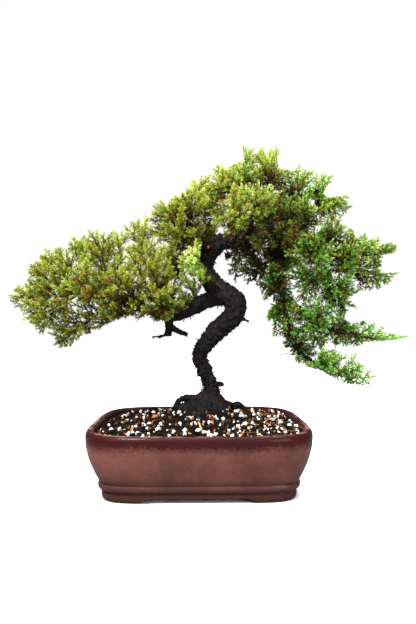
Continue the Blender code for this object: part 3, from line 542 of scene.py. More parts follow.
def tube(path, sides, relief=None):
    """A closed tube along a path of (x, y, z, radius), its radius changed by a table of relief."""
    _, side, third = frames(path)
    angles = 2 * math.pi * np.arange(sides) / sides
    around = side[:, None] * np.cos(angles)[None, :, None] + third[:, None] * np.sin(angles)[None, :, None]
    radii = np.repeat(path[:, 3:4], sides, axis=1)
    if relief is not None:
        radii = radii + relief
    corners = path[:, None, :3] + around * radii[:, :, None]
    return corners.reshape(-1, 3), ring_triangles(len(path), sides)


def toned(tones):
    """Shades for corners that carry one tone each."""
    return np.column_stack([tones, tones, tones, np.ones_like(tones)])


def toned_tube(path, sides, tone):
    """A tube with the same tone all over."""
    corners, triangles = tube(path, sides)
    return corners, triangles, toned(np.full(len(corners), float(tone)))


def apply_modifiers(piece):
    """Keeps a piece's evaluated mesh as its own."""
    bpy.context.view_layer.update()
    evaluated = piece.evaluated_get(bpy.context.evaluated_depsgraph_get())
    mesh = bpy.data.meshes.new_from_object(evaluated)
    piece.modifiers.clear()
    piece.data = mesh


# Materials


class Nodes:
    """A new material, with short calls for its nodes."""

    def __init__(self, name, roughness, **settings):
        self.material = bpy.data.materials.new(name)
        self.material.use_nodes = True
        self.tree = self.material.node_tree
        self.shader = self.tree.nodes["Principled BSDF"]
        self.shader.inputs["Roughness"].default_value = roughness
        for socket, value in settings.items():
            self.shader.inputs[socket.replace("_", " ")].default_value = value
        self.place = self.add("ShaderNodeTexCoord").outputs["Object"]

    def add(self, kind, **values):
        """A node with some of its properties set."""
        node = self.tree.nodes.new(kind)
        for name, value in values.items():
            setattr(node, name, value)
        return node

    def link(self, source, target):
        """Links an output to an input."""
        self.tree.links.new(source, target)

    def noise(self, scale, detail=3.0, roughness=0.5, stretch=None):
        """Noise over the object's own space, with scale in features per metre."""
        node = self.add("ShaderNodeTexNoise")
        node.inputs["Scale"].default_value = scale
        node.inputs["Detail"].default_value = detail
        node.inputs["Roughness"].default_value = roughness
        place = self.place
        if stretch:
            mapping = self.add("ShaderNodeMapping")
            mapping.inputs["Scale"].default_value = stretch
            self.link(place, mapping.inputs["Vector"])
            place = mapping.outputs["Vector"]
        self.link(place, node.inputs["Vector"])
        return node.outputs["Fac"]

    def ramp(self, factor, stops):
        """A colour ramp with stops of (place, colour)."""
        node = self.add("ShaderNodeValToRGB")
        ramp = node.color_ramp
        while len(ramp.elements) < len(stops):
            ramp.elements.new(0.5)
        for element, (place, colour) in zip(ramp.elements, stops):
            element.position = place
            element.color = (*colour, 1)
        self.link(factor, node.inputs["Fac"])
        return node.outputs["Color"]

    def span(self, value, start, end):
        """A value's share of the way from start to end."""
        node = self.add("ShaderNodeMapRange", clamp=True)
        node.inputs["From Min"].default_value = start
        node.inputs["From Max"].default_value = end
        self.link(value, node.inputs["Value"])
        return node.outputs["Result"]

    def put(self, value, socket):
        """Gives a socket an output, a plain colour or a number."""
        if isinstance(value, bpy.types.NodeSocket):
            self.link(value, socket)
        else:
            socket.default_value = (*value, 1) if isinstance(value, tuple) else value

    def mix(self, factor, first, second):
        """A mix of two colours, each an output or a plain colour."""
        node = self.add("ShaderNodeMix", data_type="RGBA")
        for socket, value in (("Factor", factor), (6, first), (7, second)):
            self.put(value, node.inputs[socket])
        return node.outputs[2]

    def math(self, operation, first, second):
        """One sum on two values, each an output or a number."""
        node = self.add("ShaderNodeMath", operation=operation)
        for socket, value in zip(node.inputs, (first, second)):
            self.put(value, socket)
        return node.outputs["Value"]

    def colour(self, source):
        """Sets the base colour."""
        self.link(source, self.shader.inputs["Base Color"])

    def rough(self, source):
        """Sets the roughness."""
        self.link(source, self.shader.inputs["Roughness"])

    def bump(self, height, distance, strength=1.0):
        """Adds relief from a height, with distance in metres."""
        node = self.add("ShaderNodeBump")
        node.inputs["Distance"].default_value = distance
        node.inputs["Strength"].default_value = strength
        self.link(height, node.inputs["Height"])
        self.link(node.outputs["Normal"], self.shader.inputs["Normal"])


def glaze_material():
    """Brown glaze with a dark red run under the rim, fine speckle, painted shade towards the foot, a lip
    rubbed pale partly as wear and partly as a painted highlight, and orange-peel relief.
    """
    glaze = Nodes("glaze", 0.4, Coat_Weight=0.10, Coat_Roughness=0.05, Specular_IOR_Level=0.09)
    split = glaze.add("ShaderNodeSeparateXYZ")
    glaze.link(glaze.place, split.inputs["Vector"])
    height = split.outputs["Z"]
    brown = [(0.36, (0.093, 0.032, 0.024)), (0.5, (0.121, 0.042, 0.032)), (0.64, (0.148, 0.054, 0.042))]
    body = glaze.ramp(glaze.noise(34, 4, 0.6), brown)
    body = glaze.mix(glaze.span(glaze.noise(900, 2, 0.6), 0.56, 0.85), body, (0.058, 0.017, 0.014))
    body = glaze.mix(glaze.span(glaze.noise(520, 2, 0.5), 0.66, 0.84), body, (0.19, 0.075, 0.058))
    runs = glaze.math("SUBTRACT", glaze.math("ADD", glaze.noise(26, 4, 0.7), glaze.noise(320, 3, 0.6)), 1.0)
    edge = glaze.math("ADD", height, glaze.math("MULTIPLY", runs, 0.011))
    body = glaze.mix(glaze.span(edge, *BAND_EDGE), body, (0.029, 0.0025, 0.0030))
    # painted shade: the glaze is darkened towards the foot, where less light reaches
    body = glaze.mix(glaze.math("MULTIPLY", glaze.span(edge, *FOOT_PAINTED_SHADE), 0.9), body, (0.035, 0.012, 0.010))
    # partly wear and partly a painted highlight: the lip's top is painted pale where it is rubbed
    rubbed = glaze.span(glaze.noise(60, 3, 0.6), 0.42, 0.62)
    lip_wear_and_highlight = glaze.math("MULTIPLY", glaze.span(height, *LIP_WEAR_AND_HIGHLIGHT), rubbed)
    body = glaze.mix(lip_wear_and_highlight, body, (0.24, 0.12, 0.095))
    glaze.colour(body)
    glaze.rough(glaze.span(glaze.noise(140, 3, 0.6), -0.6, 1.7))
    peel = glaze.math("ADD", glaze.noise(420, 2, 0.5), glaze.math("MULTIPLY", glaze.noise(1300, 1, 0.5), 0.4))
    glaze.bump(peel, 0.0006, 0.5)
    return glaze.material


def screen_material():
    """Dull dark plastic mesh."""
    plastic = Nodes("screen_mesh", 0.55)
    dull = [(0.3, (0.035, 0.035, 0.037)), (0.7, (0.06, 0.06, 0.062))]
    plastic.colour(plastic.ramp(plastic.noise(300), dull))
    plastic.bump(plastic.noise(1500), 0.0003, 0.4)
    return plastic.material


def soil_material():
    """Near-black damp peat."""
    peat = Nodes("peat", 0.95, Specular_IOR_Level=0.03)
    damp = [(0.3, (0.003, 0.0022, 0.0019)), (0.55, (0.009, 0.006, 0.005)), (0.8, (0.030, 0.018, 0.012))]
    peat.colour(peat.ramp(peat.noise(420, 4, 0.7), damp))
    peat.bump(peat.noise(700, 4, 0.7), 0.0015, 0.9)
    return peat.material


def grain_material(name, roughness, stops, scale, relief):
    """Loose grains that vary in colour by the shade each one carries, with fine relief."""
    grain = Nodes(name, roughness, Specular_IOR_Level=0.05)
    shade = grain.add("ShaderNodeAttribute", attribute_name="shade").outputs["Fac"]
    own, fine = grain.math("MULTIPLY", shade, 0.75), grain.math("MULTIPLY", grain.noise(scale), 0.25)
    mixed = grain.math("ADD", own, fine)
    grain.colour(grain.ramp(mixed, stops))
    grain.bump(grain.noise(scale, 4, 0.7), relief, 0.7)
    return grain.material


def bark_material():
    """Near-black flaky bark, with browner plates and a little grey."""
    bark = Nodes("bark", 0.9, Specular_IOR_Level=0.15)
    plates = bark.noise(260, 5, 0.7, (1.0, 1.0, 0.45))
    dark = [(0.3, (0.0025, 0.0022, 0.003)), (0.5, (0.006, 0.005, 0.0057))]
    light = [(0.66, (0.017, 0.0135, 0.0135)), (0.85, (0.050, 0.037, 0.031))]
    bark.colour(bark.ramp(plates, dark + light))
    bark.bump(plates, 0.002, 1.0)
    return bark.material


def twig_material():
    """Red-brown young bark, dark towards the limb."""
    twig = Nodes("twig_bark", 0.8, Specular_IOR_Level=0.2)
    shade = twig.add("ShaderNodeAttribute", attribute_name="shade").outputs["Fac"]
    fine = twig.noise(500, 4, 0.7)
    young = twig.ramp(fine, [(0.3, (0.045, 0.017, 0.010)), (0.7, (0.16, 0.065, 0.030))])
    twig.colour(twig.mix(shade, (0.012, 0.008, 0.007), young))
    twig.bump(fine, 0.0008, 0.8)
    return twig.material


def needle_material():
    """Needles by the shade they carry: red is the way to the tip with freshness and painted light and shade,
    green the greener side, blue dead.
    """
    leaf = Nodes("needles", 0.55, Specular_IOR_Level=0.2)
    split = leaf.add("ShaderNodeSeparateColor")
    shade = leaf.add("ShaderNodeAttribute", attribute_name="shade").outputs["Color"]
    leaf.link(shade, split.inputs["Color"])
    tip, side, dead = split.outputs["Red"], split.outputs["Green"], split.outputs["Blue"]
    patch = leaf.math("MULTIPLY", leaf.math("SUBTRACT", leaf.noise(55, 2, 0.5), 0.5), 0.4)
    tip = leaf.math("ADD", tip, patch)
    # the stops run from dark, for old needles and painted shade, to pale, for new needles and painted
    # highlight
    old, grown, young, newest = 0.0, 0.35, 0.7, 1.0
    olive = [(old, (0.040, 0.036, 0.006)), (grown, (0.20, 0.235, 0.014))]
    olive += [(young, (0.42, 0.485, 0.040)), (newest, (0.82, 0.85, 0.19))]
    green = [(old, (0.016, 0.038, 0.006)), (grown, (0.085, 0.25, 0.018))]
    green += [(young, (0.24, 0.59, 0.085)), (newest, (0.66, 0.93, 0.38))]
    living = leaf.mix(side, leaf.ramp(tip, olive), leaf.ramp(tip, green))
    brown = [(0.0, (0.03, 0.012, 0.005)), (0.6, (0.22, 0.075, 0.014)), (1.0, (0.55, 0.22, 0.04))]
    leaf.colour(leaf.mix(dead, living, leaf.ramp(tip, brown)))
    return leaf.material


def floor_material():
    """White paper that glows for the eye, with a painted shadow under the pot where the glow fades, and which
    throws little light back.
    """
    paper = Nodes("floor_paper", 0.95)
    paper.colour(paper.ramp(paper.noise(3), [(0.0, (0.33, 0.33, 0.33)), (1.0, (0.35, 0.35, 0.35))]))
    spread = paper.add("ShaderNodeMapping")
    half = (POT_LENGTH / 2 - FOOT_INSET * END_DRAW, POT_DEPTH / 2 - FOOT_INSET * SIDE_DRAW)
    spread.inputs["Scale"].default_value = (1 / (half[0] * MM), 1 / (half[1] * MM), 1)
    paper.link(paper.place, spread.inputs["Vector"])
    split = paper.add("ShaderNodeSeparateXYZ")
    paper.link(spread.outputs["Vector"], split.inputs["Vector"])
    reaches = [paper.math("ABSOLUTE", split.outputs[axis], 0) for axis in "XY"]
    powers = [paper.math("POWER", reach, FLOOR_SQUARENESS) for reach in reaches]
    away = paper.math("POWER", paper.math("ADD", *powers), 1 / FLOOR_SQUARENESS)
    # painted shadow: the floor's glow fades out under and just around the pot's foot
    glow_outside_painted_shadow = paper.span(away, *PAPER_PAINTED_SHADOW)
    glow = paper.add("ShaderNodeEmission")
    glow.inputs["Color"].default_value = (1, 0.985, 0.965, 1)
    paper.link(paper.math("MULTIPLY", glow_outside_painted_shadow, PAPER_GLOW), glow.inputs["Strength"])
    bright = paper.add("ShaderNodeBsdfDiffuse")
    bright.inputs["Color"].default_value = (0.82, 0.82, 0.82, 1)
    seen = paper.add("ShaderNodeAddShader")
    paper.link(glow.outputs["Emission"], seen.inputs[0])
    paper.link(bright.outputs["BSDF"], seen.inputs[1])
    pick = paper.add("ShaderNodeMixShader")
    paper.link(paper.add("ShaderNodeLightPath").outputs["Is Camera Ray"], pick.inputs["Fac"])
    paper.link(paper.shader.outputs["BSDF"], pick.inputs[1])
    paper.link(seen.outputs["Shader"], pick.inputs[2])
    paper.link(pick.outputs["Shader"], paper.tree.nodes["Material Output"].inputs["Surface"])
    return paper.material


# Pot


def rounded_ring(inset, height, sides):
    """Corners of a level ring: the pot's outline, drawn in by inset, with bowed sides."""
    squareness = FOOT_SQUARENESS + (RIM_SQUARENESS - FOOT_SQUARENESS) * min(1.0, height / BULGE_HEIGHT)
    angles = 2 * math.pi * (np.arange(sides) + 0.5) / sides
    along, across = np.cos(angles), np.sin(angles)
    stretch = (abs(along) ** squareness + abs(across) ** squareness) ** (-1 / squareness)
    x = (POT_LENGTH / 2 - inset * END_DRAW) * along * stretch
    y = (POT_DEPTH / 2 - inset * SIDE_DRAW) * across * stretch
    return np.column_stack([x, y, np.full(sides, float(height))])


def pot_rows():
    """(inset, height) up the outside, over the lip and down the inside."""
    wall = []
    for step in range(BULGE_STEPS + 1):
        rise = step / BULGE_STEPS
        height = WAIST_HEIGHT + (BULGE_HEIGHT - WAIST_HEIGHT) * rise
        wall.append((WAIST_INSET * (1 - rise) ** BULGE_CURVE, height))
    return FOOT_BAND + wall + LIP + INSIDE


def cutter(corners, triangles):
    """A solid that is cut from the pot."""
    mesh = bpy.data.meshes.new("cutter")
    mesh.from_pydata([Vector(corner) * MM for corner in corners + MIDDLE], [], triangles.tolist())
    tool = bpy.data.objects.new("cutter", mesh)
    bpy.context.scene.collection.objects.link(tool)
    return tool


def bar(outline, start, end, axis):
    """A straight bar along x (axis 0) or y (axis 1), from an outline of (across, height)."""
    corners = []
    for place in (start, end):
        for across, height in outline:
            corners.append((place, across, height) if axis == 0 else (-across, place, height))
    return np.array(corners, float), ring_triangles(2, len(outline))


def pot_cutters():
    """The gaps between the feet, the hollow behind them and the drainage holes."""
    side_height = FOOT_HEIGHT - SIDE_GAP_LOWER
    gaps = ((1, FOOT_GAP_FRONT, POT_DEPTH, FOOT_HEIGHT), (0, FOOT_GAP_SIDE, POT_LENGTH, side_height))
    for axis, (top, bottom), span, height in gaps:
        outline = [(-bottom, -UNDERCUT), (bottom, -UNDERCUT), (top, height), (-top, height)]
        yield cutter(*bar(outline, -span, span, axis))
    across = POT_LENGTH / 2 - FOOT_INSET - FOOT_THICKNESS
    deep = POT_DEPTH / 2 - FOOT_INSET - FOOT_THICKNESS
    below, above = -2 * UNDERCUT, FOOT_HEIGHT + HOLLOW_HIGHER
    yield cutter(*bar([(-deep, below), (deep, below), (deep, above), (-deep, above)], -across, across, 0))
    for place in (-DRAIN_PLACE, DRAIN_PLACE):
        path = np.array([(place, 0, -PAST, DRAIN_RADIUS), (place, 0, FLOOR_TOP + PAST, DRAIN_RADIUS)])
        yield cutter(*tube(path, DRAIN_SIDES))


def make_pot():
    """The glazed pot."""
    rows = pot_rows()
    corners = np.vstack([rounded_ring(inset, height, POT_SIDES) for inset, height in rows])
    pot = new_piece("pot_glazed", corners, ring_triangles(len(rows), POT_SIDES), glaze_material())
    for tool in pot_cutters():
        step = pot.modifiers.new("cut", "BOOLEAN")
        step.operation = "DIFFERENCE"
        step.object = tool
        apply_modifiers(pot)
        bpy.data.objects.remove(tool)
    pot.data.shade_smooth()
    pot.data.set_sharp_from_angle(angle=math.radians(SHARP_EDGE))
    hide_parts("pot")


# Soil


def soil_height(x, y):
    """The soil's surface: level at the pot's wall, and mounded towards the trunk."""
    away = np.hypot(x - TRUNK[0][0], y - TRUNK[0][1])
    ripple = RIPPLE[0] * np.sin(x / RIPPLE[1]) * np.cos(y / RIPPLE[2])
    return SOIL_EDGE + SOIL_RISE * np.exp(-((away / SOIL_SPREAD) ** 2)) + ripple


def make_ground():
    """The peat between the grains: a closed skin with a rough top."""
    edge = rounded_ring(WALL + SOIL_CLEAR, SOIL_EDGE, SOIL_SIDES)
    rings = [edge - [0, 0, SOIL_DEPTH]]
    middle = np.array(TRUNK[0][:2], float)
    for step in range(SOIL_RINGS):
        share = 1 - step / SOIL_RINGS
        ring = edge.copy()
        ring[:, :2] = middle + (edge[:, :2] - middle) * share
        ring[:, 2] = soil_height(ring[:, 0], ring[:, 1])
        ring[:, 2] += [PEAT_LUMPS * noise.noise(Vector(corner) * PEAT_FINENESS) for corner in ring]
        rings.append(ring)
    triangles = ring_triangles(len(rings), SOIL_SIDES)
    ground = new_piece("soil_peat", np.vstack(rings), triangles, soil_material(), smooth=True)
    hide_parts("soil")


def ball_template(detail):
    """Corners and triangles of a ball of radius one."""
    ball = bmesh.new()
    bmesh.ops.create_icosphere(ball, subdivisions=detail, radius=1.0)
    corners = np.array([vertex.co for vertex in ball.verts])
    triangles = np.array([[vertex.index for vertex in face.verts] for face in ball.faces])
    ball.free()
    return corners, triangles


def random_turns(draws, count):
    """Rotation matrices that point every way."""
    first = unit(draws.normal(size=(count, 3)))
    second = draws.normal(size=(count, 3))
    second = unit(second - first * np.sum(first * second, axis=1, keepdims=True))
    return np.stack([first, second, np.cross(first, second)], axis=2)


def scatter(draws, count):
    """Places strewn in patches over the soil's surface, thinner at the left and close to the trunk."""
    found = []
    half_length, half_depth = POT_LENGTH / 2 - WALL - GRAIN_MARGIN, POT_DEPTH / 2 - WALL - GRAIN_MARGIN
    while len(found) < count:
        x, y = draws.uniform(-1, 1, 2)
        place = Vector((x * half_length, y * half_depth, 0))
        near = math.hypot(place.x - TRUNK[0][0], place.y - TRUNK[0][1])
        chance = GRAIN_CHANCE + PATCHY * noise.noise(place / PATCH) + THICKER_RIGHT * x
        chance -= THINNER_INSIDE * math.exp(-((near / TRUNK_CLEAR) ** 2))
        if abs(x) ** RIM_SQUARENESS + abs(y) ** RIM_SQUARENESS < 1 and draws.uniform() < chance:
            found.append(place[:2])
    places = np.array(found)
    return np.column_stack([places, soil_height(places[:, 0], places[:, 1])])


def make_grains(name, count, size, squash, detail, lumps, material, seed, smooth):
    """Loose grains of one kind: balls made lumpy, squashed, turned and sunk a little in the soil."""
    draws = np.random.default_rng(seed)
    ball, faces = ball_template(detail)
    places = scatter(draws, count)
    sizes = draws.uniform(*size, count)
    stretch = draws.uniform(*GRAIN_STRETCH, (count, 3)) * squash
    turns = random_turns(draws, count)
    rough = 1 + lumps * draws.uniform(-1, 1, (count, len(ball), 1))
    shapes = ball[None] * rough * stretch[:, None]
    corners = np.einsum("nij,nkj->nki", turns, shapes) * sizes[:, None, None]
    lowest = corners[:, :, 2].min(axis=1)
    places[:, 2] += -lowest * draws.uniform(*GRAIN_RISE, count)
    corners = (corners + places[:, None]).reshape(-1, 3)
    triangles = (faces[None] + (np.arange(count) * len(ball))[:, None, None]).reshape(-1, 3)
    shades = toned(np.repeat(draws.uniform(0, 1, count), len(ball)))
    grains = new_piece(name, corners, triangles, material, shades, smooth)
    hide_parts("soil")


def make_rootlets():
    """Fine dry rootlets that lie in curves on the soil."""
    draws = np.random.default_rng(SEED + 4)
    parts = []
    across, deep = POT_LENGTH / 2 - WALL - ROOTLET_MARGIN, POT_DEPTH / 2 - WALL - ROOTLET_MARGIN
    along = np.linspace(0, 1, ROOTLET_POINTS)
    for x, y, _ in scatter(draws, ROOTLETS):
        heading, bend = draws.uniform(0, 2 * math.pi), draws.uniform(-ROOTLET_BEND, ROOTLET_BEND)
        step = draws.uniform(*ROOTLET_LENGTH) / (ROOTLET_POINTS - 1)
        turn = heading + bend * along
        px = x + np.concatenate([[0], np.cumsum(np.cos(turn[:-1]) * step)])
        py = y + np.concatenate([[0], np.cumsum(np.sin(turn[:-1]) * step)])
        reach = (abs(px) / across) ** ROOTLET_AREA + (abs(py) / deep) ** ROOTLET_AREA
        if reach.max() > 1:
            continue
        pz = soil_height(px, py) + ROOTLET_REST + draws.uniform(*ROOTLET_ARCH) * np.sin(math.pi * along)
        radius = np.linspace(draws.uniform(*ROOTLET_RADIUS), ROOTLET_END, ROOTLET_POINTS)
        path = np.column_stack([px, py, pz, radius])
        parts.append(toned_tube(path, ROOTLET_SIDES, draws.uniform(*ROOTLET_TONE)))
    corners, triangles, shades = gather(parts)
    stops = [(0.2, (0.03, 0.018, 0.01)), (0.6, (0.16, 0.09, 0.045)), (0.9, (0.38, 0.27, 0.16))]
    material = grain_material("rootlet", 0.8, stops, 500, 0.0004)
    rootlets = new_piece("soil_rootlets", corners, triangles, material, shades, True)
    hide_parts("soil")


def make_soil():
    """Peat, perlite, bark bits, pale chips, dark grit and rootlets."""
    make_ground()
    white = [(0.05, (0.45, 0.38, 0.27)), (0.3, (0.78, 0.75, 0.68)), (0.7, (0.95, 0.94, 0.91))]
    white = grain_material("perlite", 0.8, white, 900, 0.0006)
    make_grains(
        "soil_perlite", PERLITE, PERLITE_SIZE, PERLITE_SHAPE, 2, PERLITE_LUMPS, white, SEED + 1, True
    )
    brown = [(0.1, (0.06, 0.018, 0.007)), (0.5, (0.34, 0.095, 0.022)), (0.9, (0.66, 0.26, 0.075))]
    brown = grain_material("bark_bit", 0.75, brown, 600, 0.0005)
    make_grains(
        "soil_bark_bits", BARK_BITS, BARK_BIT_SIZE, BARK_BIT_SHAPE, 1, BARK_BIT_LUMPS, brown, SEED + 2, False
    )
    pale = [(0.1, (0.40, 0.27, 0.15)), (0.9, (0.75, 0.62, 0.44))]
    pale = grain_material("chip", 0.7, pale, 500, 0.0004)
    make_grains("soil_chips", CHIPS, CHIP_SIZE, CHIP_SHAPE, 1, CHIP_LUMPS, pale, SEED + 8, False)
    dark = [(0.1, (0.0035, 0.0025, 0.0022)), (0.75, (0.014, 0.010, 0.008)), (0.97, (0.08, 0.08, 0.055))]
    dark = grain_material("grit", 0.85, dark, 700, 0.0005)
    make_grains("soil_grit", GRIT, GRIT_SIZE, GRIT_SHAPE, 1, GRIT_LUMPS, dark, SEED + 3, False)
    make_rootlets()


# Where each spray runs, laid by the same rule and draws as on the solids


class Room:
    """Beads strung along every twig and shoot, which keep the pieces of different nodes apart."""

    def __init__(self):
        self.places = np.zeros((0, 3))
        self.radii = np.zeros(0)
        self.owners = np.zeros(0, int)

    def clearance(self, beads, radius, owner, leafy_only=False):
        """The least gap between new beads and those of other owners."""
        others = self.owners != owner
        if leafy_only:
            others &= self.owners != WOOD_OWNER
        if not others.any():
            return math.inf
        apart = np.linalg.norm(beads[:, None] - self.places[others][None], axis=2)
        return float((apart - self.radii[others]).min() - radius)

    def add(self, beads, radius, owner):
        """Takes the room that new beads fill."""
        self.places = np.vstack([self.places, beads])
        self.radii = np.concatenate([self.radii, np.broadcast_to(radius, len(beads))])
        self.owners = np.concatenate([self.owners, np.full(len(beads), owner)])


def bow(start, middle, end, t):
    """A point on the curve that leaves start for middle and arrives at end."""
    return start * (1 - t) ** 2 + middle * 2 * t * (1 - t) + end * t**2


def bow_points(start, middle, end, first, last, spans):
    """Points along part of a bow."""
    shares = np.linspace(first, last, spans + 1)
    return np.array([bow(start, middle, end, share) for share in shares])


def twig_start(path, tip):
    """Where a twig leaves its limb: a little before the limb's nearest place to the tip."""
    nearest = int(np.argmin(np.linalg.norm(path[:, :3] - tip, axis=1)))
    lead = TWIG_LEAD * np.linalg.norm(path[nearest, :3] - tip)
    back = nearest
    while back > 0 and np.linalg.norm(path[back, :3] - path[nearest, :3]) < lead:
        back -= 1
    return path[back, :3]


def lay_leaders():
    """(start, middle, tip, share at which the leaves begin) of every spray, bent clear of the rest as on
    the solids. The middle of a lifted one is raised afterwards."""
    draws = random.Random(SEED)
    room = Room()
    for path in [smooth_path(TRUNK, TRUNK_BEADS), *limb_paths(LIMB_BEADS)]:
        for point in path:
            room.add(point[None, :3], point[3], WOOD_OWNER)
    found = []
    for owner, (limb, *tip) in enumerate(SPRAYS):
        tip = np.array(tip, float)
        start = twig_start(np.array(LIMBS[limb], float), tip)
        length = np.linalg.norm(tip - start)
        begins = 1 - min(SPRAY_SHARE, SPRAY_REACH / length)
        best = None
        for attempt in range(TRIES):
            sway = np.array([draws.uniform(-1, 1) for _ in range(3)]) * length * TWIG_SWAY * attempt
            middle = (start + tip) / 2 + np.array([0, 0, -TWIG_SAG * length]) + sway
            leafy = bow_points(start, middle, tip, begins, 1, LEAFY_BEADS)
            woody = bow_points(start, middle, tip, WOODY_FROM, begins, WOODY_BEADS)
            clear = room.clearance(leafy, NEEDLE_REACH, owner)
            clear = min(clear, room.clearance(woody, TWIG_RADIUS, owner, leafy_only=True))
            if best is None or clear > best[0]:
                best = (clear, middle, leafy, woody)
            if clear > CLEAR:
                break
        _, middle, leafy, woody = best
        room.add(leafy, NEEDLE_REACH, owner)
        room.add(woody, TWIG_RADIUS, WOOD_OWNER)
        lift = np.array([0, 0, LIFTED.get(owner + 1, 0.0)])
        found.append((start, middle + lift, tip, begins))
    return found


# Wood


def bark_relief(path, sides, depth):
    """Relief in millimetres of flaky plates that run along a limb, for each row and side."""
    along = np.concatenate([[0], np.cumsum(np.linalg.norm(np.diff(path[:, :3], axis=0), axis=1))])
    table = np.zeros((len(path), sides))
    for row, place in enumerate(along):
        radius = path[row, 3]
        for side in range(sides):
            angle = 2 * math.pi * side / sides
            across, deep = math.cos(angle) * radius * PLATE_ACROSS, math.sin(angle) * radius * PLATE_ACROSS
            around = Vector((across, deep, place * PLATE_ALONG))
            plate = noise.noise(around + Vector(path[0, :3]))
            flake = noise.noise(around * FLAKE_FINER + Vector(FLAKE_PLACE))
            table[row, side] = depth * (PLATE_DEPTH * plate + FLAKE_DEPTH * flake)
    return table


def make_wood():
    """Trunk, roots, limbs and dead wood, fused and roughened."""
    parts = []
    thick = [(TRUNK, TRUNK_SIDES, TRUNK_RELIEF)] + [(root, ROOT_SIDES, ROOT_RELIEF) for root in ROOTS]
    for points, sides, depth in thick:
        path = smooth_path(points, TRUNK_STEPS)
        parts.append(tube(path, sides, bark_relief(path, sides, depth)))
    for points in list(LIMBS.values()) + DEAD_WOOD:
        path = smooth_path(points, LIMB_STEPS)
        parts.append(tube(path, LIMB_SIDES, bark_relief(path, LIMB_SIDES, LIMB_RELIEF * path[0, 3])))
    corners, triangles = gather(parts)
    bark = bark_material()
    wood = new_piece("wood_bark", corners, triangles, bark)
    fuse = wood.modifiers.new("fuse", "REMESH")
    fuse.mode = "VOXEL"
    fuse.voxel_size = BARK_VOXEL * MM
    apply_modifiers(wood)
    roughen(wood.data, BARK_ROUGHNESS)
    dress(wood, bark, True)
    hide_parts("wood")


def roughen(mesh, depth):
    """Moves each corner along its normal by fine noise, up to depth in millimetres."""
    count = len(mesh.vertices)
    places, normals = np.empty(count * 3), np.empty(count * 3)
    mesh.vertices.foreach_get("co", places)
    mesh.vertices.foreach_get("normal", normals)
    places, normals = places.reshape(-1, 3), normals.reshape(-1, 3)
    shift = []
    for place in map(Vector, places):
        shift.append(noise.noise(place * BARK_COARSE) + BARK_FINE_SHARE * noise.noise(place * BARK_FINE))
    places += normals * (np.array(shift) * depth * MM)[:, None]
    mesh.vertices.foreach_set("co", places.ravel())
    mesh.update()


def make_twigs(curves, old_twigs):
    """The twigs that carry the sprays, darker towards the limb, with the old ones and small stubs."""
    parts = []
    for start, middle, tip, begins in curves:
        points = bow_points(start, middle, tip, 0, begins, TWIG_SPANS)
        path = np.column_stack([points, np.linspace(TWIG_RADIUS, STEM_RADIUS, TWIG_SPANS + 1)])
        tones = np.repeat(np.linspace(0, TWIG_TONE, TWIG_SPANS + 1), TWIG_SIDES)
        parts.append((*tube(path, TWIG_SIDES), toned(tones)))
    parts += [toned_tube(points, THIN_SIDES, tone) for points, tone in old_twigs]
    parts += stubs()
    corners, triangles, shades = gather(parts)
    twigs = new_piece("wood_twigs", corners, triangles, twig_material(), shades, True)
    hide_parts("wood")


def make_scars():
    """Pale orange ends of two cut twigs on the trunk."""
    parts = []
    for place in SCARS:
        end = np.array(place, float)
        path = np.array([[*(end + (0, SCAR_DEPTH, 0)), SCAR_RADIUS], [*end, SCAR_RADIUS * SCAR_TAPER]])
        parts.append(toned_tube(path, SCAR_SIDES, SCAR_TONE))
    corners, triangles, shades = gather(parts)
    stops = [(0.3, (0.24, 0.055, 0.012)), (0.7, (0.62, 0.22, 0.07))]
    material = grain_material("cut_wood", 0.7, stops, 900, 0.0003)
    new_piece("wood_scars", corners, triangles, material, shades)


def stubs():
    """Short broken stubs and hairs that stand out of the trunk and the limbs."""
    draws = np.random.default_rng(SEED + 5)
    paths = [smooth_path(TRUNK, STUB_STEPS)[STUBS_FROM:], *limb_paths(STUB_STEPS)]
    weights = np.array([len(path) * path[:, 3].mean() for path in paths])
    found = []
    for number in draws.choice(len(paths), STUBS, p=weights / weights.sum()):
        path = paths[number]
        row = draws.integers(0, len(path))
        ahead, side, third = (directions[row] for directions in frames(path))
        angle = draws.uniform(0, 2 * math.pi)
        outward = side * math.cos(angle) + third * math.sin(angle)
        heading = unit(outward + ahead * draws.uniform(*STUB_LEAN))
        root = path[row, :3] + outward * path[row, 3] * STUB_SUNK
        length = draws.uniform(*STUB_LENGTH) + STUB_LONGER * path[row, 3]
        droop = np.array([0, 0, -1]) * draws.uniform(*STUB_DROOP) * length
        points = np.array([root, root + heading * length * 0.6, root + heading * length + droop])
        radius = draws.uniform(*STUB_RADIUS)
        stub = np.column_stack([points, [radius, radius * 0.8, radius * 0.4]])
        found.append(toned_tube(stub, THIN_SIDES, draws.uniform(*STUB_TONE)))
    return found


